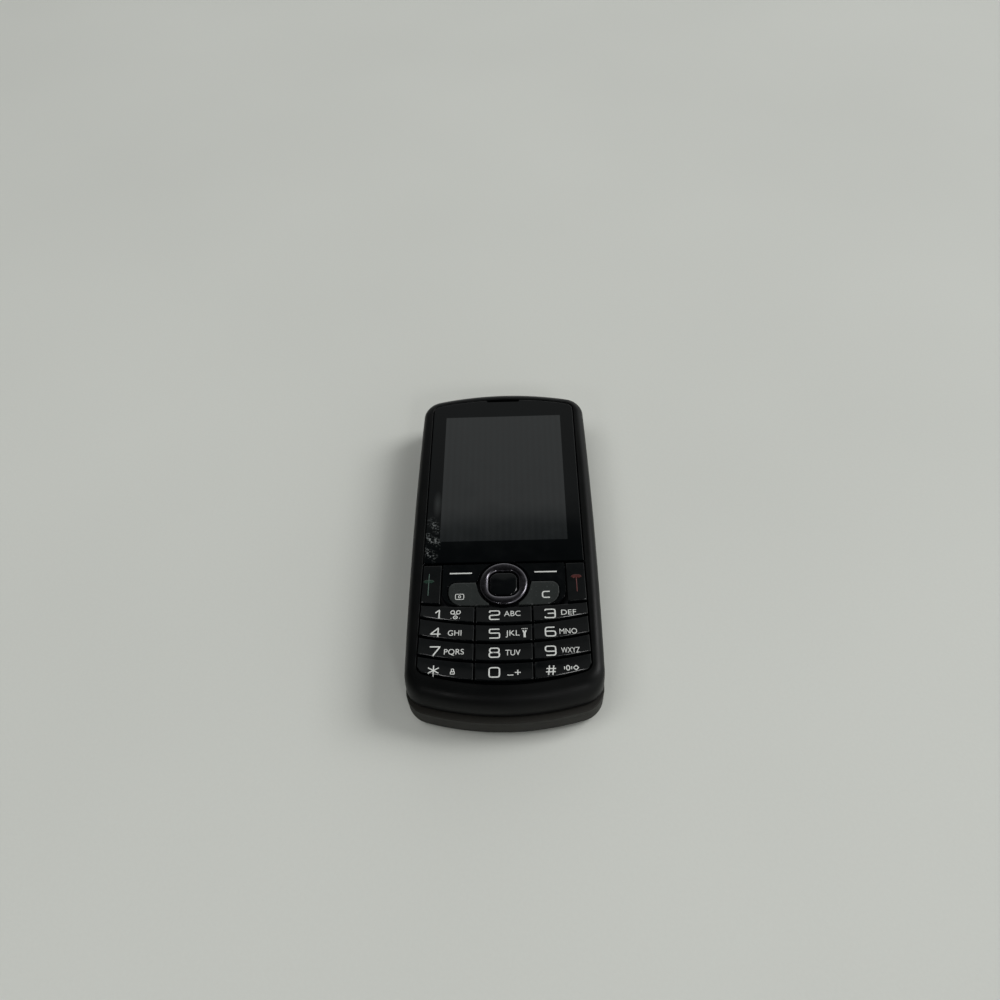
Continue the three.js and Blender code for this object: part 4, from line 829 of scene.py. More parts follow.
# Each glyph's strokes as shares of its width and height. A stroke that ends where it starts is closed.
DIGIT_SHARES = {
    "1": [[(0.02, 0.66), (0.42, 1), (0.42, 0)]],
    "2": [[(0, 0.8), (0, 1), (1, 1), (1, 0.52), (0, 0.48), (0, 0), (1, 0)]],
    "3": [[(0, 0.84), (0, 1), (1, 1), (1, 0), (0, 0), (0, 0.16)], [(0.25, 0.52), (1, 0.52)]],
    "4": [[(0.74, 0), (0.74, 1), (0, 0.3), (1, 0.3)]],
    "5": [[(1, 1), (0, 1), (0, 0.56), (1, 0.56), (1, 0), (0, 0)]],
    "6": [[(0.92, 1), (0, 1), (0, 0), (1, 0), (1, 0.56), (0, 0.56)]],
    "7": [[(0, 1), (1, 1), (0.34, 0)]],
    "8": [
        [(0.04, 0.52), (0.04, 1), (0.96, 1), (0.96, 0.52), (0.04, 0.52)],
        [(0, 0), (1, 0), (1, 0.52), (0, 0.52), (0, 0)],
    ],
    "9": [[(0.08, 0), (1, 0), (1, 1), (0, 1), (0, 0.44), (1, 0.44)]],
    "0": [[(0, 0), (1, 0), (1, 1), (0, 1), (0, 0)]],
    "star": [[(0.52, -0.02), (0.52, 1.06)], [(0, 0.23), (1.04, 0.81)], [(0, 0.81), (1.04, 0.23)]],
    "hash": [
        [(0.25, 0), (0.38, 1)], [(0.66, 0), (0.79, 1)],
        [(0.02, 0.34), (0.95, 0.34)], [(0.07, 0.68), (1, 0.68)],
    ],
}


def wire(name, paths, radius, level=0.0, resolution=2):
    """A round wire along paths at a height, as a mesh. Each path comes with whether it is closed."""
    curve = bpy.data.curves.new(name, "CURVE")
    curve.dimensions = "3D"
    curve.bevel_depth = radius * MM
    curve.bevel_resolution = resolution
    curve.use_fill_caps = True
    for path, closed in paths:
        spline = curve.splines.new("POLY")
        spline.points.add(len(path) - 1)
        for point, (x, y) in zip(spline.points, path):
            point.co = (x * MM, y * MM, level * MM, 1)
        spline.use_cyclic_u = closed
    return settle(linked(name, curve))


def stroked(strokes, corner, size, width, rise, radius=0.28):
    """Flat raised strokes in a box, as a mesh. The radius is a share of the box's height."""
    paths = []
    for shares in strokes:
        closed = shares[0] == shares[-1]
        real = [(corner[0] + x * size[0], corner[1] + y * size[1]) for x, y in shares[: len(shares) - closed]]
        paths.append((divided(rounded(real, radius * size[1], closed), width / 2, closed), closed))
    made = wire("strokes", paths, width / 2)
    for vertex in made.data.vertices:
        vertex.co.z *= rise / (width / 2)
    return made


def lettered(words, corner, height, rise, width=0.0):
    """Words as a mesh, from their lower left corner, as wide as asked."""
    curve = bpy.data.curves.new("words", "FONT")
    curve.body = words
    cap_share = 0.73
    curve.size = height / cap_share * MM
    curve.extrude = rise * MM
    curve.space_character = 1.02
    made = settle(linked("words", curve))
    if width:
        xs = [vertex.co.x for vertex in made.data.vertices]
        stretch = Matrix.Diagonal((width * MM / (max(xs) - min(xs)), 1, 1, 1))
        made.data.transform(stretch @ Matrix.Translation((-min(xs), 0, 0)))
    made.data.transform(Matrix.Translation(Vector((*corner, 0)) * MM))
    return made


def laid_on(mark, top, finish):
    """Lays a flat mark on a surface that is given as a height over x and y, in millimetres."""
    for vertex in mark.data.vertices:
        vertex.co.z += top(vertex.co.x / MM, vertex.co.y / MM) * MM
    return dress(mark, finish)


def ellipse(x, y, radius_x, radius_y, steps=12):
    """A closed round stroke, as shares of its box."""
    angles = np.linspace(0, 2 * math.pi, steps + 1)[:-1]
    points = [(x + radius_x * math.cos(a), y + radius_y * math.sin(a)) for a in angles]
    return [*points, points[0]]


# Shapes that several pieces share


def front_form(front):
    """The display half's outline."""
    top = (FRONT.high.y, front.top_bow, front.corner)
    return shape(FRONT.high.x, top, (FRONT.low.y, front.chin_bow, front.corner), front.side_bow)


def front_ring(front, z, extra=0.0):
    """The display half's outside at a height, drawn in by an extra amount."""
    chin_base = FRONT.low.z + front.seam_chamfer
    chamfer = max(chin_base - z, 0)
    side = round_off(front.edge_round, max(z - (FACE - front.edge_round), 0)) + chamfer
    share = min(max(z - chin_base, 0) / (FACE - chin_base), 1)
    slope = front.chin_depth - front.chin_flat
    chin = slope * (1 - math.sqrt(1 - share**2)) + chamfer
    form = drawn_in(front_form(front), side + extra, side + extra, max(side, chin) + extra)
    return at_height(outline(form), z)


def lit_top(front):
    """The upper edge of the display's lit area."""
    return PANEL.low.y + front.panel_foot + front.active_height


def glass_top(front):
    """The top of the window's recess. The window itself is highest beside its notch."""
    fall = (front.slot_width / 2) ** 2 / (2 * (front.glass_bow - front.clearance))
    return WINDOW.high.y + front.clearance + fall


def pad_top(front):
    """Where the window's recess ends and the keypad's opening starts."""
    return WINDOW.low.y - front.clearance


def glass_form(front):
    """The window's recess. The window's node is drawn in from it by the clearance."""
    return shape(
        WINDOW.high.x + front.clearance,
        (glass_top(front), front.glass_bow, front.glass_corner),
        (pad_top(front), STRAIGHT, front.glass_foot),
    )


def pocket_form(front):
    """The keypad's opening. The mat's node is drawn in from it by the clearance."""
    gap = front.clearance
    return shape(
        PAD_SHEET.high.x + gap,
        (pad_top(front), STRAIGHT, front.glass_foot),
        (PAD_SHEET.low.y - gap, front.pocket_bow, front.pocket_corner),
    )


def base_form(base, front):
    """The base half's outline."""
    top = (DECK.high.y, base.top_bow, base.corner)
    return shape(DECK.high.x, top, (DECK.low.y, base.bottom_bow, base.corner), front.side_bow)


def base_ring(base, front, z, extra=0.0):
    """The base half's outside at a height, drawn in by an extra amount."""
    inset = round_off(base.edge_round, max(base.edge_round - z, 0))
    chamfer = max(z - (DECK.high.z - front.seam_chamfer), 0)
    return at_height(outline(drawn_in(base_form(base, front), inset + chamfer + extra)), z)


def base_body(base, front, low, high):
    """The part of the base half's outside between two heights."""
    turns = np.linspace(0, math.pi / 2, 12)
    levels = [base.edge_round * (1 - math.sin(turn)) for turn in turns] + [DECK.high.z - front.seam_chamfer]
    between = sorted(z for z in levels if low + 0.02 < z < high - 0.02)
    return loft([base_ring(base, front, z) for z in [low, *between, high]])


def row_line(keys, index):
    """The arc between two rows of number keys, lowest on the middle line, as height over x."""
    bow = {0: keys.first_bow, 4: keys.last_bow}.get(index, keys.row_bow)
    rows_top = WINDOW.low.y - keys.navigation - WINDOW_GAP
    return lambda x: rows_top - index * keys.pitch + x**2 / (2 * bow)


# Shares at which a key's top has its columns and rows, closer together at the ridge
EVEN = [i / 24 for i in range(25)]
RIDGED = [0, 0.01, 0.02, 0.027, 0.034, 0.045, 0.056, 0.064, 0.08, 0.12, 0.25, 0.45, 0.7, 1]
CALL_ROWS = [share * 0.36 for share in RIDGED[:-1]] + [0.45, 0.6, 0.8, 1]


class PhoneOperator(bpy.types.Operator):
    """Makes one piece of the phone, or a group of like pieces"""

    bl_options = {"REGISTER", "UNDO"}


class PHONE_OT_front_bezel(PhoneOperator):
    """Makes the display half's shell, with the window's recess and the keypad's opening"""

    bl_idname = "phone.front_bezel"
    bl_label = "Front bezel"

    def execute(self, context):
        """Lofts the shell and cuts its openings."""
        front = in_mm(context.scene.phone_front)
        low, chin_base = FRONT.low.z, FRONT.low.z + front.seam_chamfer
        turns = np.linspace(0, math.pi / 2, 32)[:-1]
        # Closer together towards the face, where the chin and the edge turn over
        levels = [chin_base + (FACE - chin_base) * math.sin(turn) for turn in turns]
        piece = new_object("front_bezel", *loft([front_ring(front, z) for z in [low, *levels, FACE]]))
        mask_top = WINDOW.low.z - front.clearance
        mask_base = mask_top - front.mask
        through = (mask_base - PAST, mask_top + PAST)
        cavity = [at_height(front_ring(front, chin_base, front.wall), low - PAST)]
        for z in (chin_base, (chin_base + mask_base) / 2, mask_base):
            cavity.append(front_ring(front, z, front.wall))
        lit = widened((PANEL.low.y + front.panel_foot, lit_top(front)), front.mask_border)
        slot_y = glass_top(front) - front.slot_height / 2
        bar_width = (WINDOW.high.x - 0.2) * 2
        carve(piece, [
            loft(cavity),
            flared(glass_form(front), mask_top, front.lip),
            flared(pocket_form(front), mask_base - PAST, front.lip),
            # Takes away the bar between the window's recess and the keypad's opening
            box(around(0, bar_width), around(pad_top(front), 1), (mask_top, FACE + 2)),
            box(around(0, front.active_width + front.mask_border * 2), lit, through),
            box(around(0, front.sound_width), around(slot_y, front.sound_height), through),
        ])
        dress(piece, FINISHES["bezel"])
        place(smooth(piece), "display_half", "front_plastic", "front_bezel")
        return {"FINISHED"}


class PHONE_OT_window(PhoneOperator):
    """Makes the display window, polished at its edge, with the earpiece's notch"""

    bl_idname = "phone.window"
    bl_label = "Display window"

    def execute(self, context):
        """Lofts the window, and gives the lit area the display's finish."""
        front = in_mm(context.scene.phone_front)
        form = drawn_in(glass_form(front), front.clearance)
        rings = [at_height(outline(form), WINDOW.low.z)]
        for inset, drop in rounding(front.glass_edge):
            rings.append(at_height(outline(drawn_in(form, inset)), FACE - drop))
        piece = new_object("display_window", *loft(rings))
        top = glass_top(front)
        notch = round_box(around(0, front.slot_width), (top - front.slot_height, top + 2), 0.5)
        carve(piece, [prism(notch, (WINDOW.low.z - PAST, FACE + PAST))])
        dress(piece, FINISHES["lens"], FINISHES["panel"])
        mesh = bmesh.new()
        mesh.from_mesh(piece.data)
        half, low, high = front.active_width / 2, PANEL.low.y + front.panel_foot, lit_top(front)
        edges = [((x, 0, 0), (1, 0, 0)) for x in (half, -half)]
        edges += [((0, y, 0), (0, 1, 0)) for y in (low, high)]
        for point, normal in edges:
            every = [*mesh.verts, *mesh.edges, *mesh.faces]
            bmesh.ops.bisect_plane(mesh, geom=every, plane_co=Vector(point) * MM, plane_no=Vector(normal))
        for face in mesh.faces:
            middle = face.calc_center_median() / MM
            lit = abs(middle.x) < half and low < middle.y < high
            face.material_index = int(lit and face.normal.z > 0.9)
        mesh.to_mesh(piece.data)
        mesh.free()
        place(smooth(piece), "display_half", "window_glass", "display_window")
        return {"FINISHED"}


class PHONE_OT_ear_mesh(PhoneOperator):
    """Makes the earpiece's woven mesh out of crossing wires"""

    bl_idname = "phone.ear_mesh"
    bl_label = "Earpiece mesh"

    def execute(self, context):
        """Repeats a wire each way over the slot."""
        front = in_mm(context.scene.phone_front)
        wire, pitch, gauze = front.mesh_wire, front.mesh_pitch, FINISHES["gauze"]
        slot = reach("earpiece_mesh")
        width, height = slot.high.x - slot.low.x - wire, slot.high.y - slot.low.y - wire
        x, y, level = slot.middle.x, slot.middle.y, slot.low.z + wire
        across = new_object("wire", *box(around(0, width + wire), around(0, wire), (0, wire)))
        along = new_object("wire", *box(around(0, wire), around(0, height + wire), (0, wire)))
        rows, columns = round(height / pitch) + 1, round(width / pitch) + 1
        first = repeated("earpiece_mesh", across, gauze, (x, y, level), (0, height), (1, rows))
        second = repeated("crossing", along, gauze, (x, y, level + wire), (width, 0), (columns, 1))
        place(joined(first, [second]), "display_half", "front_plastic", "earpiece_mesh")
        return {"FINISHED"}


def key_rings(xs, lower, upper, top, bevel, foot, across=EVEN, deep=RIDGED):
    """A key between two columns' edges and two lines, with round edges. Its top is a height over x and y."""

    def grid(inset):
        spans = [xs[0] + inset + (xs[1] - xs[0] - inset * 2) * share for share in across]
        return [[(x, (lower(x) + inset) * (1 - v) + (upper(x) - inset) * v) for x in spans] for v in deep]

    def rim(rows):
        right = [row[-1] for row in rows[1:-1]]
        left = [row[0] for row in rows[1:-1]]
        return [*rows[0], *right, *reversed(rows[-1]), *reversed(left)]

    rings = [at_height(rim(grid(0)), foot)]
    rings += [[(x, y, top(x, y) - drop) for x, y in rim(grid(inset))] for inset, drop in rounding(bevel)]
    points, faces = loft(rings)
    del faces[-1]
    start, step = len(points), len(across)
    points += [(x, y, top(x, y)) for row in grid(bevel) for x, y in row]
    for r in range(len(deep) - 1):
        for corner in range(start + r * step, start + (r + 1) * step - 1):
            faces.append((corner, corner + 1, corner + step + 1, corner + step))
    return points, faces


def ridged_top(keys, lower, upper):
    """A key's height over x and y: it rises to a ridge near its lower edge, then falls by a steep front."""

    def top(x, y):
        low = lower(x)
        span = max(upper(x) - low, 0.1)
        share = min(max((low + span - y) / span, 0), 1)
        into = min(max(low + keys.ridge_depth - y, 0), keys.ridge_depth)
        fall = min(into, keys.ridge_chamfer) + max(into - keys.ridge_chamfer, 0) * keys.ridge_slope
        return FACE - keys.drop + (keys.drop + keys.ridge) * share**1.4 - fall

    return top


def pocket_floor(front):
    """The keypad's lower edge, drawn in by the clearance, as height over x."""
    edge = outline(drawn_in(pocket_form(front), front.clearance), 24)
    xs, ys = zip(*sorted(point for point in edge if point[1] < PAD_SHEET.low.y + 8))
    return lambda x: float(np.interp(x, xs, ys))


def columns_of(keys):
    """The three columns' edges."""
    edge, split, half_gap = PAD_SHEET.high.x, keys.middle / 2, keys.gap / 2
    return [(-edge, -split - half_gap), (-split + half_gap, split - half_gap), (split + half_gap, edge)]


# Up to how many degrees a ridged key's faces shade smooth
KEY_ANGLE = 25
KEY_NAMES = ["1", "2", "3", "4", "5", "6", "7", "8", "9", "star", "0", "hash"]
# Beside each digit: its words, where they start across the phone, how wide they are and how high they stand
SIDE_WORDS = {
    "2": ("ABC", 0.1, 4.4, 1.0), "3": ("DEF", 15.4, 4.0, 0.85), "4": ("GHI", -14.8, 3.6, 0.3),
    "5": ("JKL", 0.5, 3.7, 0.65), "6": ("MNO", 14.7, 4.6, 0.6), "7": ("PQRS", -15.6, 5.2, 0.35),
    "8": ("TUV", 0.4, 3.9, 0.5), "9": ("WXYZ", 14.9, 4.8, 0.65),
}
# Where each column's digits start across the phone, and how far the narrower ones are moved
DIGIT_LEFT = [-19.4, -3.8, 10.7]
DIGIT_SHIFT = {"1": 0.9, "star": -0.1, "3": 0.4, "6": 0.3, "9": 0.1}
# How far each column's digits stand above the middle of their row
DIGIT_RAISED = [0.3, -0.05, -0.1]
# How thick some signs' strokes are, and how round the digits' corners are
SIGN_SHARES = {"star": 0.82, "hash": 0.86, "4": 0.92}
DIGIT_ROUND_SHARES = {"2": 0.2, "3": 0.22, "5": 0.14, "6": 0.25, "8": 0.24, "9": 0.25, "0": 0.26}


def side_marks(name, foot, keys):
    """The small marks beside a digit, each within a box above the digit's foot."""
    thin, bold = keys.stroke * 0.68, keys.stroke * 1.1

    def mark(strokes, left, low, size, radius=0.2, thick=thin):
        return stroked(strokes, (left, foot + low), size, thick, keys.ink, radius)

    if name == "1":
        reels = [ellipse(0.2, 0.52, 0.2, 0.46), ellipse(0.8, 0.52, 0.2, 0.46), [(0.2, 0.06), (0.8, 0.06)]]
        ball = [ellipse(0.5, 0.5, 0.22, 0.5), [(0.46, 0.5), (0.54, 0.5)]]
        dots = [[(0, 0.2), (0.06, 0.2)], [(0.94, 0.2), (1, 0.2)]]
        return [mark(reels, -14.3, 1.3, (2.6, 1.25)), mark(ball + dots, -14.2, -0.2, (2.4, 1.0))]
    if name == "5":
        body = [[(0.5, 0.02), (0.5, 0.6)]]
        head = [[(0.5, 0.42), (0.24, 0.78)], [(0.5, 0.42), (0.76, 0.78)]]
        rays = [[(x, 0.9), (x, 1)] for x in (0.08, 0.36, 0.64, 0.92)]
        parts = ((body, bold * 1.4), (head, bold), (rays, thin))
        return [mark(strokes, 4.7, 0.0, (1.55, 2.9), 0, thick) for strokes, thick in parts]
    if name == "star":
        body = [(0, 0), (1, 0), (1, 0.5), (0, 0.5), (0, 0)]
        lock = [body, [(0.5, 0.2), (0.5, 0.3)], [(0.2, 0.5), (0.2, 1), (0.8, 1), (0.8, 0.5)]]
        return [mark(lock, -13.7, 0.3, (1.0, 1.5), 0.12, thin * 0.85)]
    if name == "0":
        space = [[(0, 0.45), (0, 0), (1, 0), (1, 0.45)]]
        plus = [[(0.5, 0), (0.5, 1)], [(0, 0.5), (1, 0.5)]]
        return [mark(space, 1.0, 0.5, (1.3, 0.4), 0), mark(plus, 2.8, 0.5, (1.5, 1.5), thick=bold * 0.7)]
    if name == "hash":
        bell = [[(0, 0.2), (0, 0.8)], [(1, 0.2), (1, 0.8)], ellipse(0.5, 0.5, 0.24, 0.5)]
        diamond = [[(0.5, 0), (1, 0.5), (0.5, 1), (0, 0.5), (0.5, 0)]]
        return [mark(bell, 15.5, 1.25, (1.8, 1.4)), mark(diamond, 17.8, 1.25, (1.3, 1.4), 0)]
    return []


class PHONE_OT_number_keys(PhoneOperator):
    """Makes the twelve number keys with their digits and letters"""

    bl_idname = "phone.number_keys"
    bl_label = "Number keys"

    def execute(self, context):
        """Makes each key and lays its legend on it."""
        front, keys = in_mm(context.scene.phone_front), in_mm(context.scene.phone_keys)
        floor, columns = pocket_floor(front), columns_of(keys)
        half_gap, groove = keys.gap / 2, keys.ring_radius + keys.groove
        foot = reach("key_5").low.z
        for place_in_pad, name in enumerate(KEY_NAMES):
            row, column = divmod(place_in_pad, 3)
            above, below = row_line(keys, row), row_line(keys, row + 1)

            def lower(x, below=below):
                return max(below(x) + half_gap, floor(x))

            def upper(x, above=above, first=row == 0):
                line = above(x) - half_gap
                if first and abs(x) < groove:
                    return min(line, RING.middle.y - math.sqrt(groove**2 - x**2))
                return line

            top = ridged_top(keys, lambda x, below=below: below(x) + half_gap, upper)
            rings = key_rings(columns[column], lower, upper, top, keys.bevel, foot)
            piece = dress(new_object(f"key_{name}", *rings), FINISHES["key"])
            level_x = 0 if column == 1 else keys.level_at
            digit_foot = (above(level_x) + below(level_x)) / 2 - keys.digit / 2 + DIGIT_RAISED[column]
            left = DIGIT_LEFT[column] + DIGIT_SHIFT.get(name, 0)
            thick = keys.stroke * SIGN_SHARES.get(name, 1)
            digit = stroked(
                DIGIT_SHARES[name], (left, digit_foot), (keys.digit_width, keys.digit), thick, keys.ink,
                DIGIT_ROUND_SHARES.get(name, 0),
            )
            marks = [digit, *side_marks(name, digit_foot, keys)]
            if name in SIDE_WORDS:
                words, left, width, low = SIDE_WORDS[name]
                marks.append(lettered(words, (left, digit_foot + low), keys.letter, keys.ink, width))
            for mark in marks:
                laid_on(mark, top, FINISHES["legend"])
            place(joined(smooth(piece, KEY_ANGLE), marks), f"key_{name}", "key_gloss", f"key_{name}")
        return {"FINISHED"}


# Each call key's mark: its side, how far off the key's middle, its bar's foot and height, its handset's foot
CALL_MARKS = {"send": (-1, -0.8, -22.4, 7.2, -18.7), "end": (1, 0.1, -22.0, 4.6, -17.9)}
UPRIGHT_SHARES = [[(0.5, 0), (0.5, 1)]]
HANDSET_SHARES = [[(0.0, 0.55), (0.12, 0.95), (0.5, 1.0), (0.88, 0.95), (1.0, 0.55)]]


class PHONE_OT_call_keys(PhoneOperator):
    """Makes the send key and the end key"""

    bl_idname = "phone.call_keys"
    bl_label = "Call keys"

    def execute(self, context):
        """Makes both keys with their coloured marks."""
        keys = in_mm(context.scene.phone_keys)
        edges = (PAD_SHEET.high.x - keys.call_width, PAD_SHEET.high.x)
        line = row_line(keys, 0)
        key_top = WINDOW.low.y - WINDOW_GAP - keys.gap
        foot = reach("send_key").low.z
        bar_stroke, handset_stroke, handset_size = 0.22, 1.1, (2.2, 1.0)

        def lower(x):
            return line(x) + keys.gap / 2

        def upper(_):
            return key_top

        top = ridged_top(keys, lower, upper)
        for name, (side, off, bar_foot, rise, handset_foot) in CALL_MARKS.items():
            xs = edges if side > 0 else (-edges[1], -edges[0])
            rings = key_rings(xs, lower, upper, top, keys.bevel, foot, EVEN[::2], CALL_ROWS)
            piece = dress(new_object(f"{name}_key", *rings), FINISHES["key"])
            middle = (xs[0] + xs[1]) / 2 + off
            bar = stroked(UPRIGHT_SHARES, (middle - 0.5, bar_foot), (1, rise), bar_stroke, keys.ink * 1.5)
            corner = (middle - handset_size[0] / 2, handset_foot)
            handset = stroked(HANDSET_SHARES, corner, handset_size, handset_stroke, keys.ink, 0.3)
            marks = [laid_on(bar, top, FINISHES[f"{name}_bar"]), laid_on(handset, top, FINISHES[name])]
            place(joined(smooth(piece, KEY_ANGLE), marks), f"{name}_key", "key_gloss", f"{name}_key")
        return {"FINISHED"}


def cluster(right, corner, upper, lower, left, side, shoulder=0.02, steps=12):
    """The outline of a key beside the ring, with round corners at its outer end."""
    low = lower(right - corner) + corner
    points = [(x, lower(x)) for x in np.linspace(left, right - corner, 9)[:-1]]
    points += arc((right - corner, low), corner, -math.pi / 2, 0, steps)
    points += [*arc((right - shoulder, upper - shoulder), shoulder, 0, math.pi / 2, steps), (left, upper)]
    return points if side > 0 else [(-x, y) for x, y in reversed(points)]


def quarter_fall(x, end, radius):
    """How far a line has turned away at x on its way to a round corner at its end."""
    return round_off(radius, min(radius, max(x - end + radius, 0))) if x > end - radius else 0


# Each side's soft key, where its dash starts across the phone, and the plate key that stands in it
SOFT_KEYS = [(-1, "soft_key_left", -15.0, "camera_key"), (1, "soft_key_right", 8.6, "clear_key")]
# Each plate key's sign: its strokes, corner, size, stroke width and how round its corners are
PLATE_SIGNS = {
    "camera_key": (
        [[(0, 0), (1, 0), (1, 1), (0, 1), (0, 0)], ellipse(0.5, 0.5, 0.14, 0.22)],
        (-13.2, -23.7), (2.3, 1.6), 0.21, 0.25,
    ),
    "clear_key": ([[(1, 1), (0, 1), (0, 0), (1, 0)]], (10.6, -23.6), (2.0, 1.8), 0.38, 0.35),
}


class PHONE_OT_soft_keys(PhoneOperator):
    """Makes the soft keys, the camera key and the clear key"""

    bl_idname = "phone.soft_keys"
    bl_label = "Soft and plate keys"

    def execute(self, context):
        """Makes the two soft keys and the two plates that stand in them."""
        front, keys = in_mm(context.scene.phone_front), in_mm(context.scene.phone_keys)
        gap = front.clearance
        half = PAD_SHEET.high.x - keys.call_width - keys.gap
        upper, soft_low = pad_top(front) - keys.gap, pad_top(front) - keys.soft_height
        line = row_line(keys, 0)
        plate_right = half - keys.leg
        radius = keys.ring_radius + keys.groove
        groove = drum((0, RING.middle.y), radius, (FACE - 5, FACE + 2), 96)
        foot = reach("soft_key_left").low.z
        # How far the plates fall towards their lower edge, and over how much of it
        sag, plate_depth = 0.25, 7
        # Under the keys' tops, for what is cut through them
        under_top = 10
        # Shares of the plate's width, closer together towards its round end
        steps = 28
        columns = [math.sin(math.pi / 2 * i / steps) for i in range(steps + 1)]

        def lower(x):
            return line(x) + keys.gap / 2

        def space_lower(x):
            return lower(x) - 0.1

        def plate_lower(x):
            return lower(x) + quarter_fall(x, plate_right - gap, keys.plate_corner)

        def plate_upper(x):
            flat = soft_low - gap - quarter_fall(x, plate_right - gap, keys.plate_shoulder)
            return flat if x >= radius else min(flat, RING.middle.y - math.sqrt(radius**2 - x**2))

        def plate_top(x, y):
            return FACE + keys.plate_rise - sag * max((plate_upper(abs(x)) - y) / plate_depth, 0) ** 2

        shoulder = keys.plate_shoulder + gap
        corner_x = plate_right - keys.plate_corner
        # Where the plate's lower edge meets the ring's groove
        inner = math.sqrt(radius**2 - (RING.middle.y - lower(4) - keys.bevel * 2.5) ** 2)
        for side, name, dash_left, plate in SOFT_KEYS:
            whole = cluster(half, keys.cluster_corner, upper, lower, gap, side)
            space = cluster(plate_right, keys.plate_corner, soft_low, space_lower, 0, side, shoulder)
            under = box(around(0, corner_x * 2), (lower(0) - 2, soft_low - 3), (under_top, FACE + 2))
            piece = new_object(name, *prism(whole, (foot, FACE)))
            carve(piece, [prism(space, (under_top, FACE + 2)), under, groove])
            dress(soften(piece, 0.2), FINISHES["key"])
            dash = stroked([[(0, 0.5), (1, 0.5)]], (dash_left, -15.6), (6.2, 0.6), 0.42, keys.ink)
            laid_on(dash, lambda x, y: FACE, FINISHES["legend"])
            place(joined(smooth(piece), [dash]), name, "key_gloss", name)

            points, faces = key_rings(
                (inner, plate_right - gap), plate_lower, plate_upper, plate_top, keys.bevel, foot,
                columns, EVEN[::2],
            )
            if side < 0:
                points = [(-x, y, z) for x, y, z in points]
                faces = [tuple(reversed(face)) for face in faces]
            piece = dress(new_object(plate, points, faces), FINISHES["plate"])
            strokes, corner, size, thick, roundness = PLATE_SIGNS[plate]
            mark = stroked(strokes, corner, size, thick, keys.ink, roundness)
            laid_on(mark, plate_top, FINISHES["legend"])
            place(joined(smooth(piece), [mark]), plate, "key_plate", plate)
        return {"FINISHED"}


class PHONE_OT_navigation(PhoneOperator):
    """Makes the navigation ring and the centre key"""

    bl_idname = "phone.navigation"
    bl_label = "Navigation ring"

    def execute(self, context):
        """Sweeps the ring's section round the centre key, and lofts the key."""
        front, keys = in_mm(context.scene.phone_front), in_mm(context.scene.phone_keys)
        middle, turns = RING.middle, [i * 2 * math.pi / 144 for i in range(144)]

        def squircle(grow, angle):
            """How far the centre key's outline, grown, lies from its middle at an angle."""
            corner = keys.centre_corner + grow
            reach_x, reach_y = keys.centre_width / 2 + grow - corner, keys.centre_height / 2 + grow - corner
            low, high = 0.0, 30.0
            for _ in range(40):
                mid = (low + high) / 2
                x, y = abs(math.cos(angle)) * mid, abs(math.sin(angle)) * mid
                out = math.hypot(max(x - reach_x, 0), max(y - reach_y, 0)) - corner
                flat = max(x - reach_x, y - reach_y) <= 0
                low, high = (mid, high) if (flat or out < 0) else (low, mid)
            return low

        def swept(section):
            """Rings round the middle, from the radius at each turn and the height."""
            return [
                [(middle.x + r * math.cos(t), middle.y + r * math.sin(t), z) for r, t in zip(radii, turns)]
                for radii, z in section
            ]

        # The crown lies this far in from the ring's outer edge
        crown = 0.7
        outer, foot, rise = keys.ring_radius, RING.low.z, RING.high.z
        side = [squircle(front.clearance, turn) for turn in turns]
        # From the outer foot to the crown: how far in and how far down
        outward = [(0, rise - foot), (0, 1.0), (0.05, 0.55), (0.18, 0.24), (0.4, 0.07), (crown, 0)]
        # From the crown to the inner foot: which share of the way in and how far down
        inward_shares = [(0.45, 0.02), (0.7, 0.12), (0.88, 0.32), (0.97, 0.62), (1.0, rise - foot)]
        section = [([outer - along] * len(turns), rise - fall) for along, fall in outward]
        for share, fall in inward_shares:
            section.append(([outer - crown - (outer - crown - r) * share for r in side], rise - fall))
        ring = dress(new_object("nav_ring", *walls(swept(section), hoop=True)), FINISHES["ring"])
        place(smooth(ring, 50), "nav_ring", "ring_metal", "nav_ring")

        key, edge, dome = reach("centre_key"), 0.5, 0.15
        side = [squircle(0, turn) for turn in turns]
        section = [(side, key.low.z)]
        for inset, drop in rounding(edge, 6):
            section.append(([r - inset for r in side], key.high.z - dome - drop))
        for share in (0.75, 0.5, 0.25):
            section.append(([(r - edge) * share for r in side], key.high.z - dome * share**2))
        points, faces = walls(swept(section))
        count, last = len(turns), len(points)
        faces.append(tuple(reversed(range(count))))
        faces += [(last - count + i, last - count + (i + 1) % count, last) for i in range(count)]
        centre = new_object("centre_key", [*points, (middle.x, middle.y, key.high.z)], faces)
        dress(centre, FINISHES["key"])
        place(smooth(centre, 50), "centre_key", "key_gloss", "centre_key")
        return {"FINISHED"}


SCREWS = [f"base_screw_{number}" for number in range(1, 5)]
SCREW_HEAD = 0.8
# The volume rocker's flange behind the wall, and how far the flange runs past the rocker's ends
ROCKER_FLANGE = 0.5
ROCKER_END = 0.7


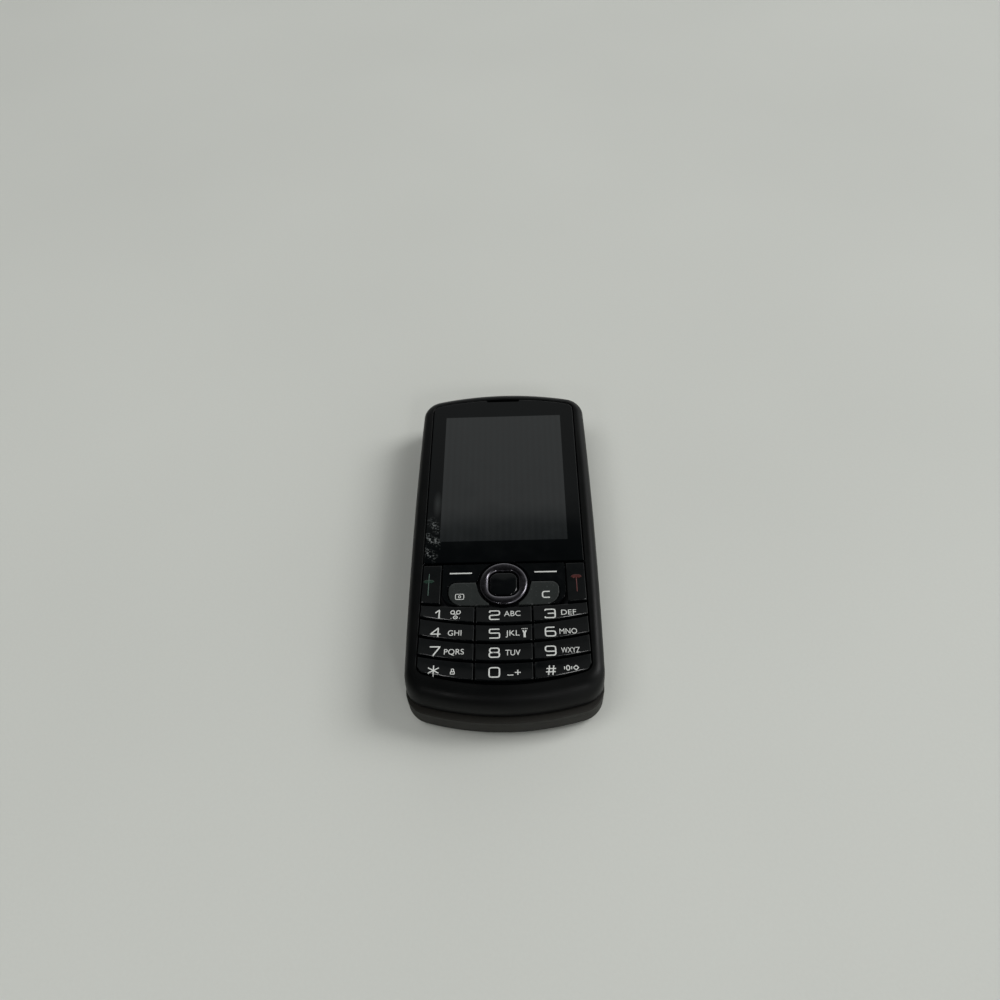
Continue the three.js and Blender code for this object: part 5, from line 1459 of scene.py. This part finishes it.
class PHONE_OT_deck(PhoneOperator):
    """Makes the base half's deck, with the letter pad's opening and the fixed plate's recess"""

    bl_idname = "phone.deck"
    bl_label = "Deck frame"

    def execute(self, context):
        """Lofts the deck and cuts what the pieces under it need."""
        front, base = in_mm(context.scene.phone_front), in_mm(context.scene.phone_base)
        gap, top, low = front.clearance, DECK.high.z, HOUSING.high.z + base.parting
        mat, plate, flex = reach("letter_keymat"), reach("slide_fixed_plate"), reach("slide_flex")
        opening = widened(mat.xs, gap - base.pad_lip), widened(mat.ys, gap - base.pad_lip)
        bay = widened(mat.xs, gap), widened(mat.ys, gap)
        lip_depth, recess_corner, flex_play = 0.5, 2, 0.9
        bay_top = top - lip_depth
        recess = widened(plate.xs, gap), widened(plate.ys, gap)
        flex_xs = (bay[0][1] - 1, reach("main_board").high.x + gap)
        piece = new_object("deck_frame", *base_body(base, front, low, top))
        cutters = [
            prism(round_box(*opening, base.pad_corner), (bay_top - PAST, top + PAST)),
            prism(round_box(*bay, base.pad_corner), (low - PAST, bay_top)),
            prism(round_box(*recess, recess_corner), (plate.low.z - gap, top + PAST)),
            box(flex_xs, widened(flex.ys, flex_play), (low - PAST, plate.low.z)),
        ]
        for screw in map(reach, SCREWS):
            cutters.append(drum(screw.middle, base.shaft + gap, (low - PAST, screw.high.z + gap)))
        dress(carve(piece, cutters), FINISHES["base"])
        place(smooth(piece), "base", "base_plastic", "deck_frame")
        return {"FINISHED"}


class PHONE_OT_housing(PhoneOperator):
    """Makes the rear housing with its bays, bosses and holes"""

    bl_idname = "phone.housing"
    bl_label = "Rear housing"

    def execute(self, context):
        """Lofts the housing and cuts each bay round what it holds."""
        front, base = in_mm(context.scene.phone_front), in_mm(context.scene.phone_base)
        gap, top, cover_end = front.clearance, HOUSING.high.z, COVER.high.y
        seam = COVER.high.z + gap
        battery, sim, card = reach("battery"), reach("sim_holder"), reach("memory_card_socket")
        window, speaker, headset = reach("camera_window"), reach("loudspeaker"), reach("headset_socket")
        charge, rocker = reach("charge_socket"), reach("volume_rocker")
        battery_ys = (battery.low.y, reach("battery_contacts").high.y)
        ceiling, shelf_low = battery.high.z + gap, card.high.z + gap
        shelf_depth, side_corner = 0.6, 1.5
        shelf = shelf_low + shelf_depth
        back = base.cover_floor + base.skin
        half = base_form(base, front)["width"]
        full = around(0, half * 2 + 2)
        bay_from = cover_end + gap + base.rib
        pocket = (battery.high.x + gap + base.rib, half - base.wall - front.side_bow)

        def below(xs, ys, height):
            """A bay open towards the back."""
            return prism(round_box(widened(xs, gap), widened(ys, gap), gap), (-PAST, height))

        def above(floor, ys):
            """A bay open towards the deck, whose walls follow the rounded outside."""
            rings = [base_ring(base, front, z, base.wall) for z in np.linspace(floor, top, 6)]
            bay = new_object("bay", *loft([*rings, at_height(rings[-1], top + PAST)]))
            return carve(bay, [box(full, ys, (floor - PAST, top + 2))], "INTERSECT")

        piece = new_object("rear_housing", *base_body(base, front, 0, top))
        carve(piece, [
            box(full, (HOUSING.low.y - PAST, cover_end + base.parting), (-PAST, seam)),
            below(battery.xs, battery_ys, ceiling),
            below(sim.xs, sim.ys, shelf_low),
            below(card.xs, card.ys, shelf_low),
            prism(round_box(pocket, battery.ys, side_corner), (-PAST, ceiling)),
            prism(round_box((-pocket[1], -pocket[0]), battery.ys, side_corner), (-PAST, ceiling)),
            above(shelf, (HOUSING.low.y, card.high.y - base.rib)),
            above(shelf, (sim.low.y, bay_from - base.rib)),
            above(back, (bay_from, HOUSING.high.y)),
        ])
        bosses, holes = [], []
        for screw in map(reach, SCREWS):
            seat = seam if screw.low.y < 0 else 0
            head = (screw.high.x - screw.low.x) / 2
            bosses.append(drum(screw.middle, base.boss, (seat, top)))
            holes.append(drum(screw.middle, base.shaft + gap, (-PAST, top + PAST)))
            holes.append(drum(screw.middle, head + gap, (-PAST, screw.low.z + SCREW_HEAD + gap)))
        radius, window_play, window_ledge = (window.high.x - window.low.x) / 2, 0.08, 0.7
        holes.append(drum(window.middle, radius + window_play, (-PAST, window.high.z + gap), 80))
        holes.append(drum(window.middle, radius - window_ledge, (-PAST, back + gap), 60))
        slot = round_box(around(0, base.sound_slot), around(0, base.sound_length), base.sound_slot / 2.1)
        slot = new_object("slot", *prism(slot, (-PAST, back + gap)))
        slots, spot = 4, (speaker.middle.x, speaker.middle.y, 0)
        row = (base.sound_pitch * (slots - 1), 0)
        holes.append(repeated("slots", slot, FINISHES["base"], spot, row, (slots, 1)))
        jack, jack_radius = Vector((headset.middle.x, headset.high.y + 1.5, headset.middle.z)), 1.3
        turn = Matrix.Rotation(math.radians(90), 4, "X")
        points, faces = drum((0, 0), jack_radius, (-3, 3))
        holes.append(([jack + turn @ Vector(point) for point in points], faces))
        socket_wall = 0.4
        plug_ys = (charge.high.y - 0.1, charge.high.y + 4)
        holes.append(box(widened(charge.xs, -socket_wall), plug_ys, widened(charge.zs, -socket_wall)))
        play = 0.4
        side_wall = rocker.low.x + ROCKER_FLANGE + play
        outer_ys, outer_zs = widened(rocker.ys, 0.15 - ROCKER_END), widened(rocker.zs, 0.12)
        inner_ys, inner_zs = widened(rocker.ys, play * 2), widened(rocker.zs, gap)
        holes.append(box((side_wall - 2, rocker.high.x + 2), outer_ys, outer_zs))
        holes.append(box((rocker.low.x - play, side_wall), inner_ys, inner_zs))
        carve(piece, bosses, "UNION")
        carve(piece, holes)
        dress(piece, FINISHES["base"])
        place(smooth(piece), "base", "base_plastic", "rear_housing")
        return {"FINISHED"}


class PHONE_OT_cover(PhoneOperator):
    """Makes the battery cover, with its grip grooves"""

    bl_idname = "phone.cover"
    bl_label = "Battery cover"

    def execute(self, context):
        """Lofts the cover, hollows it and cuts the grooves."""
        front, base = in_mm(context.scene.phone_front), in_mm(context.scene.phone_base)
        depth, end = COVER.high.z, COVER.high.y
        body = base_body(base, front, 0, depth + front.clearance - base.parting)
        piece = new_object("battery_cover", *body)
        rings = [base_ring(base, front, z, base.cover_wall) for z in np.linspace(base.cover_floor, depth, 5)]
        rings.append(at_height(rings[-1], depth + 2))
        past_end = box(around(0, COVER.high.x * 2 + 4), (end, HOUSING.high.y + 2), (-PAST, depth + 3))
        carve(piece, [loft(rings), past_end])
        groove = round_box(around(0, 20), around(0, base.grip_pitch * 0.45), 0.3)
        groove = new_object("groove", *prism(groove, (-PAST, base.grip_depth)))
        grooves, spot = 6, (0, end - 9.5, 0)
        column = (0, base.grip_pitch * (grooves - 1))
        carve(piece, [repeated("grooves", groove, FINISHES["base"], spot, column, (1, grooves))])
        dress(piece, FINISHES["base"])
        place(smooth(piece), "battery_cover", "base_plastic", "battery_cover")
        return {"FINISHED"}


class PHONE_OT_rocker(PhoneOperator):
    """Makes the volume rocker, dished in its middle"""

    bl_idname = "phone.rocker"
    bl_label = "Volume rocker"

    def execute(self, context):
        """Lofts the rocker along the phone with a round outer face."""
        node, edge = reach("volume_rocker"), 0.5
        low, high = node.low, node.high
        middle_z, half_z = (low.z + high.z) / 2, (high.z - low.z) / 2
        piece = new_object("volume_rocker", *box((low.x, low.x + ROCKER_FLANGE), node.ys, node.zs))
        y0, y1 = widened(node.ys, -ROCKER_END)
        rings = []
        for t in np.linspace(0, 1, 41):
            from_end = min(t, 1 - t) * (y1 - y0)
            shrink = round_off(edge, max(edge - from_end, 0))
            dish = 0.22 * math.exp(-(((t - 0.5) / 0.16) ** 2))
            outer, half = high.x - shrink - dish, half_z - shrink * 0.4
            section = [(low.x, -half_z), (outer - 0.35, -half)]
            section += [(outer - 0.12, -half * 0.86), (outer, -half / 2)]
            section += [(x, -z) for x, z in reversed(section)]
            rings.append([(x, y0 + (y1 - y0) * t, middle_z + z) for x, z in reversed(section)])
        carve(piece, [loft(rings)], "UNION")
        dress(piece, FINISHES["bezel"])
        place(smooth(piece, 40), "volume_rocker", "rocker_plastic", "volume_rocker")
        return {"FINISHED"}


# The letter pad's rows, from the phone's right side to its left
LETTER_ROWS = ["1234567890<", "QWERTYUIOP-", "ASDFGHJKL'@", "ZXCVBNM,.?!"]


class PHONE_OT_letter_pad(PhoneOperator):
    """Makes the letter pad under the display half: a sheet with soft keys"""

    bl_idname = "phone.letter_pad"
    bl_label = "Letter pad"

    def execute(self, context):
        """Repeats a soft key over the pad and letters each one."""
        scene = context.scene
        front, keys, base = in_mm(scene.phone_front), in_mm(scene.phone_keys), in_mm(scene.phone_base)
        mat = reach("letter_keymat")
        low, high = mat.low.z, mat.high.z
        lip, sheet_depth = base.pad_lip - front.clearance + 0.4, 0.2
        xs, ys = widened(mat.xs, -lip), widened(mat.ys, -lip)
        pitch_x, pitch_y = (xs[1] - xs[0]) / base.rows, (ys[1] - ys[0]) / base.columns
        width, height = pitch_x - base.key_gap, pitch_y - base.key_gap
        corner, dome = 0.8, 0.06

        def ring(inset, z, share=1):
            spans = around(0, (width - inset * 2) * share), around(0, (height - inset * 2) * share)
            return at_height(round_box(*spans, (corner - inset) * share, 4), z)

        rings = [ring(0, low + sheet_depth / 2)]
        rings += [ring(inset, high - dome - drop) for inset, drop in rounding(base.key_round)]
        keycap = smooth(new_object("soft_key", *loft([*rings, ring(0, high, 0.5)])))
        middle = ((xs[0] + xs[1]) / 2, (ys[0] + ys[1]) / 2, 0)
        span = (pitch_x * (base.rows - 1), pitch_y * (base.columns - 1))
        caps = repeated("letter_keymat", keycap, FINISHES["rubber"], middle, span, (base.rows, base.columns))
        sheet = new_object("sheet", *prism(round_box(mat.xs, mat.ys, 1.7), (low, low + sheet_depth)))
        dress(sheet, FINISHES["rubber"])
        turn = Matrix.Rotation(-math.pi / 2, 4, "Z")
        marks = []
        for row, words in enumerate(LETTER_ROWS[: base.rows]):
            for column, word in enumerate(words[: base.columns]):
                spot = Vector((xs[1] - pitch_x * (row + 0.5), ys[1] - pitch_y * (column + 0.5), 0)) * MM
                mark = lettered(word, (0, 0), base.letter, keys.ink / 2)
                spread = np.array([vertex.co.xy for vertex in mark.data.vertices])
                centre = Vector((*((spread.min(0) + spread.max(0)) / 2), 0))
                mark.data.transform(Matrix.Translation(spot) @ turn @ Matrix.Translation(-centre))
                marks.append(laid_on(mark, lambda x, y: high, FINISHES["legend"]))
        place(joined(caps, [smooth(sheet), *marks]), "base", "silicone", "letter_keymat")
        return {"FINISHED"}


class PHONE_OT_screws(PhoneOperator):
    """Makes the base half's four screws, with six-lobed sockets"""

    bl_idname = "phone.screws"
    bl_label = "Base screws"

    def execute(self, context):
        """Makes one screw and repeats it at each pair of bosses."""
        base = in_mm(context.scene.phone_base)
        turns, thread_pitch, thread_depth = 36, 0.4, 0.14
        for names in (SCREWS[:2], SCREWS[2:]):
            left, right = map(reach, names)
            low, high, seat = left.low.z, left.high.z, left.low.z + SCREW_HEAD
            radius = (left.high.x - left.low.x) / 2
            profile = [(radius - 0.18, low), (radius, low + 0.16), (radius, seat), (base.shaft, seat)]
            z = seat
            while z < high - 0.6:
                profile += [(base.shaft - thread_depth, z + 0.15), (base.shaft, z + 0.3)]
                z += thread_pitch
            profile.append((base.shaft * 0.5, high))
            screw = new_object("screw", *turned((0, 0), profile, turns))
            lobes = []
            for i in range(turns):
                angle = 2 * math.pi * i / turns
                r = 0.78 + 0.16 * math.cos(6 * angle)
                lobes.append((r * math.cos(angle), r * math.sin(angle)))
            smooth(carve(screw, [prism(lobes, (low - PAST, low + 0.5))]))
            middle = ((left.middle.x + right.middle.x) / 2, left.middle.y, 0)
            span = (abs(right.middle.x - left.middle.x), 0)
            pair = repeated("base_screws", screw, FINISHES["blackened"], middle, span, (2, 1))
            place(pair, "base", "steel", *names)
        return {"FINISHED"}


class PHONE_OT_camera_window(PhoneOperator):
    """Makes the camera's window, a disc with a polished edge and a printed ring"""

    bl_idname = "phone.camera_window"
    bl_label = "Camera window"

    def execute(self, context):
        """Turns the disc, its ring and the lens behind it."""
        node, edge, facets = reach("camera_window"), 0.15, 72
        middle, low, high = node.middle, node.low.z, node.high.z
        radius = (node.high.x - node.low.x) / 2
        disc = [(radius - edge, low), (radius, low + edge), (radius, high)]
        piece = dress(new_object("camera_window", *turned(middle, disc, facets)), FINISHES["glass"])
        band = [(radius - 0.25, low - 0.04), (radius - 0.2, low + 0.02)]
        hoop = new_object("hoop", *turned(middle, band, facets))
        carve(hoop, [drum(middle, radius - 0.7, (low - PAST, low + PAST), facets)])
        dress(hoop, FINISHES["steel"])
        lens = new_object("lens", *drum(middle, 1.5, (low - 0.02, low + 0.01), 48))
        dress(lens, FINISHES["panel"])
        place(joined(smooth(piece), [hoop, lens]), "base", "window_glass", "camera_window")
        return {"FINISHED"}


class PHONE_OT_spring(PhoneOperator):
    """Makes the slide's bent wire spring"""

    bl_idname = "phone.spring"
    bl_label = "Slide spring"

    def execute(self, context):
        """Bends a round wire through the same places as the model's."""
        node = reach("slide_spring")
        radius, level = (node.high.z - node.low.z) / 2, (node.high.z + node.low.z) / 2
        eye, (first, second) = 1.2, ((13.0, 2.0), (0.5, 14.0))
        bend = arc((-6.0, 6.0), 3, 1.5 * math.pi, 0.5 * math.pi, 16)
        paths = [
            arc(first, eye, -0.9 * math.pi, math.pi, 24),
            [(first[0] - eye, first[1]), *bend, (second[0] - eye, second[1])],
            arc(second, eye, math.pi, -0.9 * math.pi, 24),
        ]
        piece = wire("wire", [(path, False) for path in paths], radius, level, 4)
        dress(piece, FINISHES["steel"])
        place(smooth(piece, 60), "display_half", "steel", "slide_spring")
        return {"FINISHED"}


# The finish of each node that the scene keeps as it is
INNER_LOOKS = {
    "board": ["main_board", "keypad_board"],
    "steel": [
        "shield_can", "sim_holder", "memory_card_socket", "loudspeaker", "vibration_motor", "microphone",
        "earpiece", "charge_socket", "slide_fixed_plate", "slide_moving_plate",
    ],
    "gold": ["battery_contacts"],
    "black": ["headset_socket", "camera_module"],
    "bezel": ["slide_back_cover"],
    "domes": ["dome_sheet"],
    "silicone": ["keypad_mat", "nav_plunger_plate"],
    "wrap": ["battery"],
    "flex": ["slide_flex", "antenna"],
    "panel": ["display_panel"],
}


class PHONE_OT_inside(PhoneOperator):
    """Gives the carried-over pieces their finishes"""

    bl_idname = "phone.inside"
    bl_label = "Inner pieces"

    def execute(self, context):
        """Assigns each CAD node's material."""
        for finish, names in INNER_LOOKS.items():
            for name in names:
                dress(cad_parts[name], FINISHES[finish])
        return {"FINISHED"}


# How bright the surroundings are, by the sine of the angle above the floor. The window mirrors the part from
# 0.7 to 0.8, and the keys mirror the darkest part, above it
SKY = [
    (0.0, 1.0), (0.38, 0.92), (0.6, 0.21), (0.795, 0.185),
    (0.808, 0.05), (0.83, 0.02), (0.87, 0.04), (1.0, 0.04),
]
# What the surroundings' brightness is multiplied by for its colour, a little green as in the photograph
SKY_TINT = (0.98, 1.0, 0.98)
# Where the photograph's camera stood, in metres, and how it was turned about X, Y and Z
CAMERA_PLACE = (0.0066262, -0.1361707, 0.2031539)
CAMERA_TURN = (("Z", 0.0246535), ("Y", -0.0319660), ("X", -0.6615643))


class PHONE_OT_stage(PhoneOperator):
    """Makes the floor, the lamps and the camera"""

    bl_idname = "phone.stage"
    bl_label = "Stage"

    def execute(self, context):
        """Lays a pale floor under soft lamps and puts the camera where the photograph's was."""
        scene = context.scene
        stage = scene.phone_stage
        half = stage.floor_size / 2 / MM
        corners = [(x, y, -0.03) for x, y in ((-half, -half), (half, -half), (half, half), (-half, half))]
        floor = new_object("floor", corners, [(0, 1, 2, 3)])
        dress(floor, FINISHES["screen"])
        lamps = {
            "key_lamp": ((2.9, 1.0, 2.5), 1.8, stage.key_power),
            "top_lamp": ((-1.1, 0.0, 2.2), 1.6, stage.top_power),
            "left_fill": ((-0.4, -0.9, 0.69), 0.12, stage.fill_power * 0.6),
            "right_fill": ((0.37, -0.91, 0.69), 0.17, stage.fill_power * 1.3),
        }
        for name, (where, size, power) in lamps.items():
            lamp = bpy.data.lights.new(name, "AREA")
            lamp.shape = "SQUARE"
            lamp.size = size
            lamp.energy = power
            holder = linked(name, lamp)
            holder.location = where
            holder.rotation_euler = (-Vector(where)).to_track_quat("-Z", "Y").to_euler()
            holder.visible_glossy = name != "top_lamp"
        self.surround(stage)
        camera = bpy.data.cameras.new("camera")
        camera.lens = stage.lens
        camera.sensor_width = 36
        scene.camera = linked("camera", camera)
        turn = Matrix.Identity(3)
        for axis, angle in CAMERA_TURN:
            turn = turn @ Matrix.Rotation(angle, 3, axis)
        scene.camera.matrix_world = Matrix.Translation(CAMERA_PLACE) @ turn.transposed().to_4x4()
        scene.view_settings.view_transform = "Standard"
        return {"FINISHED"}

    def surround(self, stage):
        """Makes a room that is pale near the floor, dark above and aside, with a dark patch in front."""
        world = bpy.data.worlds.new("surroundings")
        bpy.context.scene.world = world
        world.use_nodes = True
        tree = world.node_tree
        back = tree.nodes["Background"]
        ways = add(tree, "ShaderNodeSeparateXYZ", {0: add(tree, "ShaderNodeTexCoord").outputs["Generated"]})
        x, y, z = ways.outputs
        ramp = add(tree, "ShaderNodeValToRGB", {"Fac": z})
        elements = ramp.color_ramp.elements
        while len(elements) < len(SKY):
            elements.new(1)
        for element, (position, value) in zip(elements, SKY):
            element.position = position
            element.color = (*(value * part for part in SKY_TINT), 1)
        tree.links.new(ramp.outputs["Color"], back.inputs["Color"])
        across = add(tree, "ShaderNodeMath", {0: y, 1: 0.4, 2: x}, operation="MULTIPLY_ADD")
        side = add(tree, "ShaderNodeMapRange", {
            "Value": across.outputs[0], "From Min": -0.35, "From Max": 0.2,
            "To Min": stage.world * stage.shade, "To Max": stage.world,
        })
        from_patch = add(tree, "ShaderNodeMath", {0: x, 1: 0.2})
        wide = add(tree, "ShaderNodeMath", {0: from_patch.outputs[0]}, operation="ABSOLUTE")
        aside = add(tree, "ShaderNodeMath", {0: wide.outputs[0], 1: y})
        patch = add(tree, "ShaderNodeMapRange", {
            "Value": aside.outputs[0], "From Min": -0.62, "From Max": -0.3, "To Min": 0.05, "To Max": 1.0,
        })
        both = add(tree, "ShaderNodeMath", {0: side.outputs[0], 1: patch.outputs[0]}, operation="MULTIPLY")
        tree.links.new(both.outputs[0], back.inputs["Strength"])


GROUPS = (
    ("phone_front", PhoneFrontSizes), ("phone_keys", PhoneKeySizes), ("phone_base", PhoneBaseSizes),
    ("phone_colours", PhoneColours), ("phone_stage", PhoneStageSettings),
)
OPERATORS = (
    PHONE_OT_stage, PHONE_OT_front_bezel, PHONE_OT_window, PHONE_OT_ear_mesh, PHONE_OT_number_keys,
    PHONE_OT_call_keys, PHONE_OT_soft_keys, PHONE_OT_navigation, PHONE_OT_deck, PHONE_OT_housing,
    PHONE_OT_cover, PHONE_OT_rocker, PHONE_OT_letter_pad, PHONE_OT_screws, PHONE_OT_camera_window,
    PHONE_OT_spring, PHONE_OT_inside,
)


class PHONE_PT_panel(bpy.types.Panel):
    """Lists the phone's pieces, sizes and colours"""

    bl_idname = "PHONE_PT_panel"
    bl_label = "Slider phone"
    bl_space_type = "VIEW_3D"
    bl_region_type = "UI"
    bl_category = "Phone"

    def draw(self, context):
        """Draws a button for each piece, then each group's settings."""
        for operator in OPERATORS:
            self.layout.operator(operator.bl_idname)
        for name, group in GROUPS:
            box_ui = self.layout.box()
            box_ui.label(text=group.__doc__)
            for key in group.__annotations__:
                box_ui.prop(getattr(context.scene, name), key)


def register():
    """Registers the classes and their settings."""
    for name, group in GROUPS:
        bpy.utils.register_class(group)
        setattr(bpy.types.Scene, name, PointerProperty(type=group))
    for kind in (*OPERATORS, PHONE_PT_panel):
        bpy.utils.register_class(kind)


def unregister():
    """Removes what register added."""
    for kind in (PHONE_PT_panel, *reversed(OPERATORS)):
        bpy.utils.unregister_class(kind)
    for name, group in reversed(GROUPS):
        delattr(bpy.types.Scene, name)
        bpy.utils.unregister_class(group)


def main():
    """Makes every piece in turn."""
    register()
    make_finishes(bpy.context.scene.phone_colours)
    for operator in OPERATORS:
        group, name = operator.bl_idname.split(".")
        getattr(getattr(bpy.ops, group), name)()


if __name__ == "__main__":
    main()
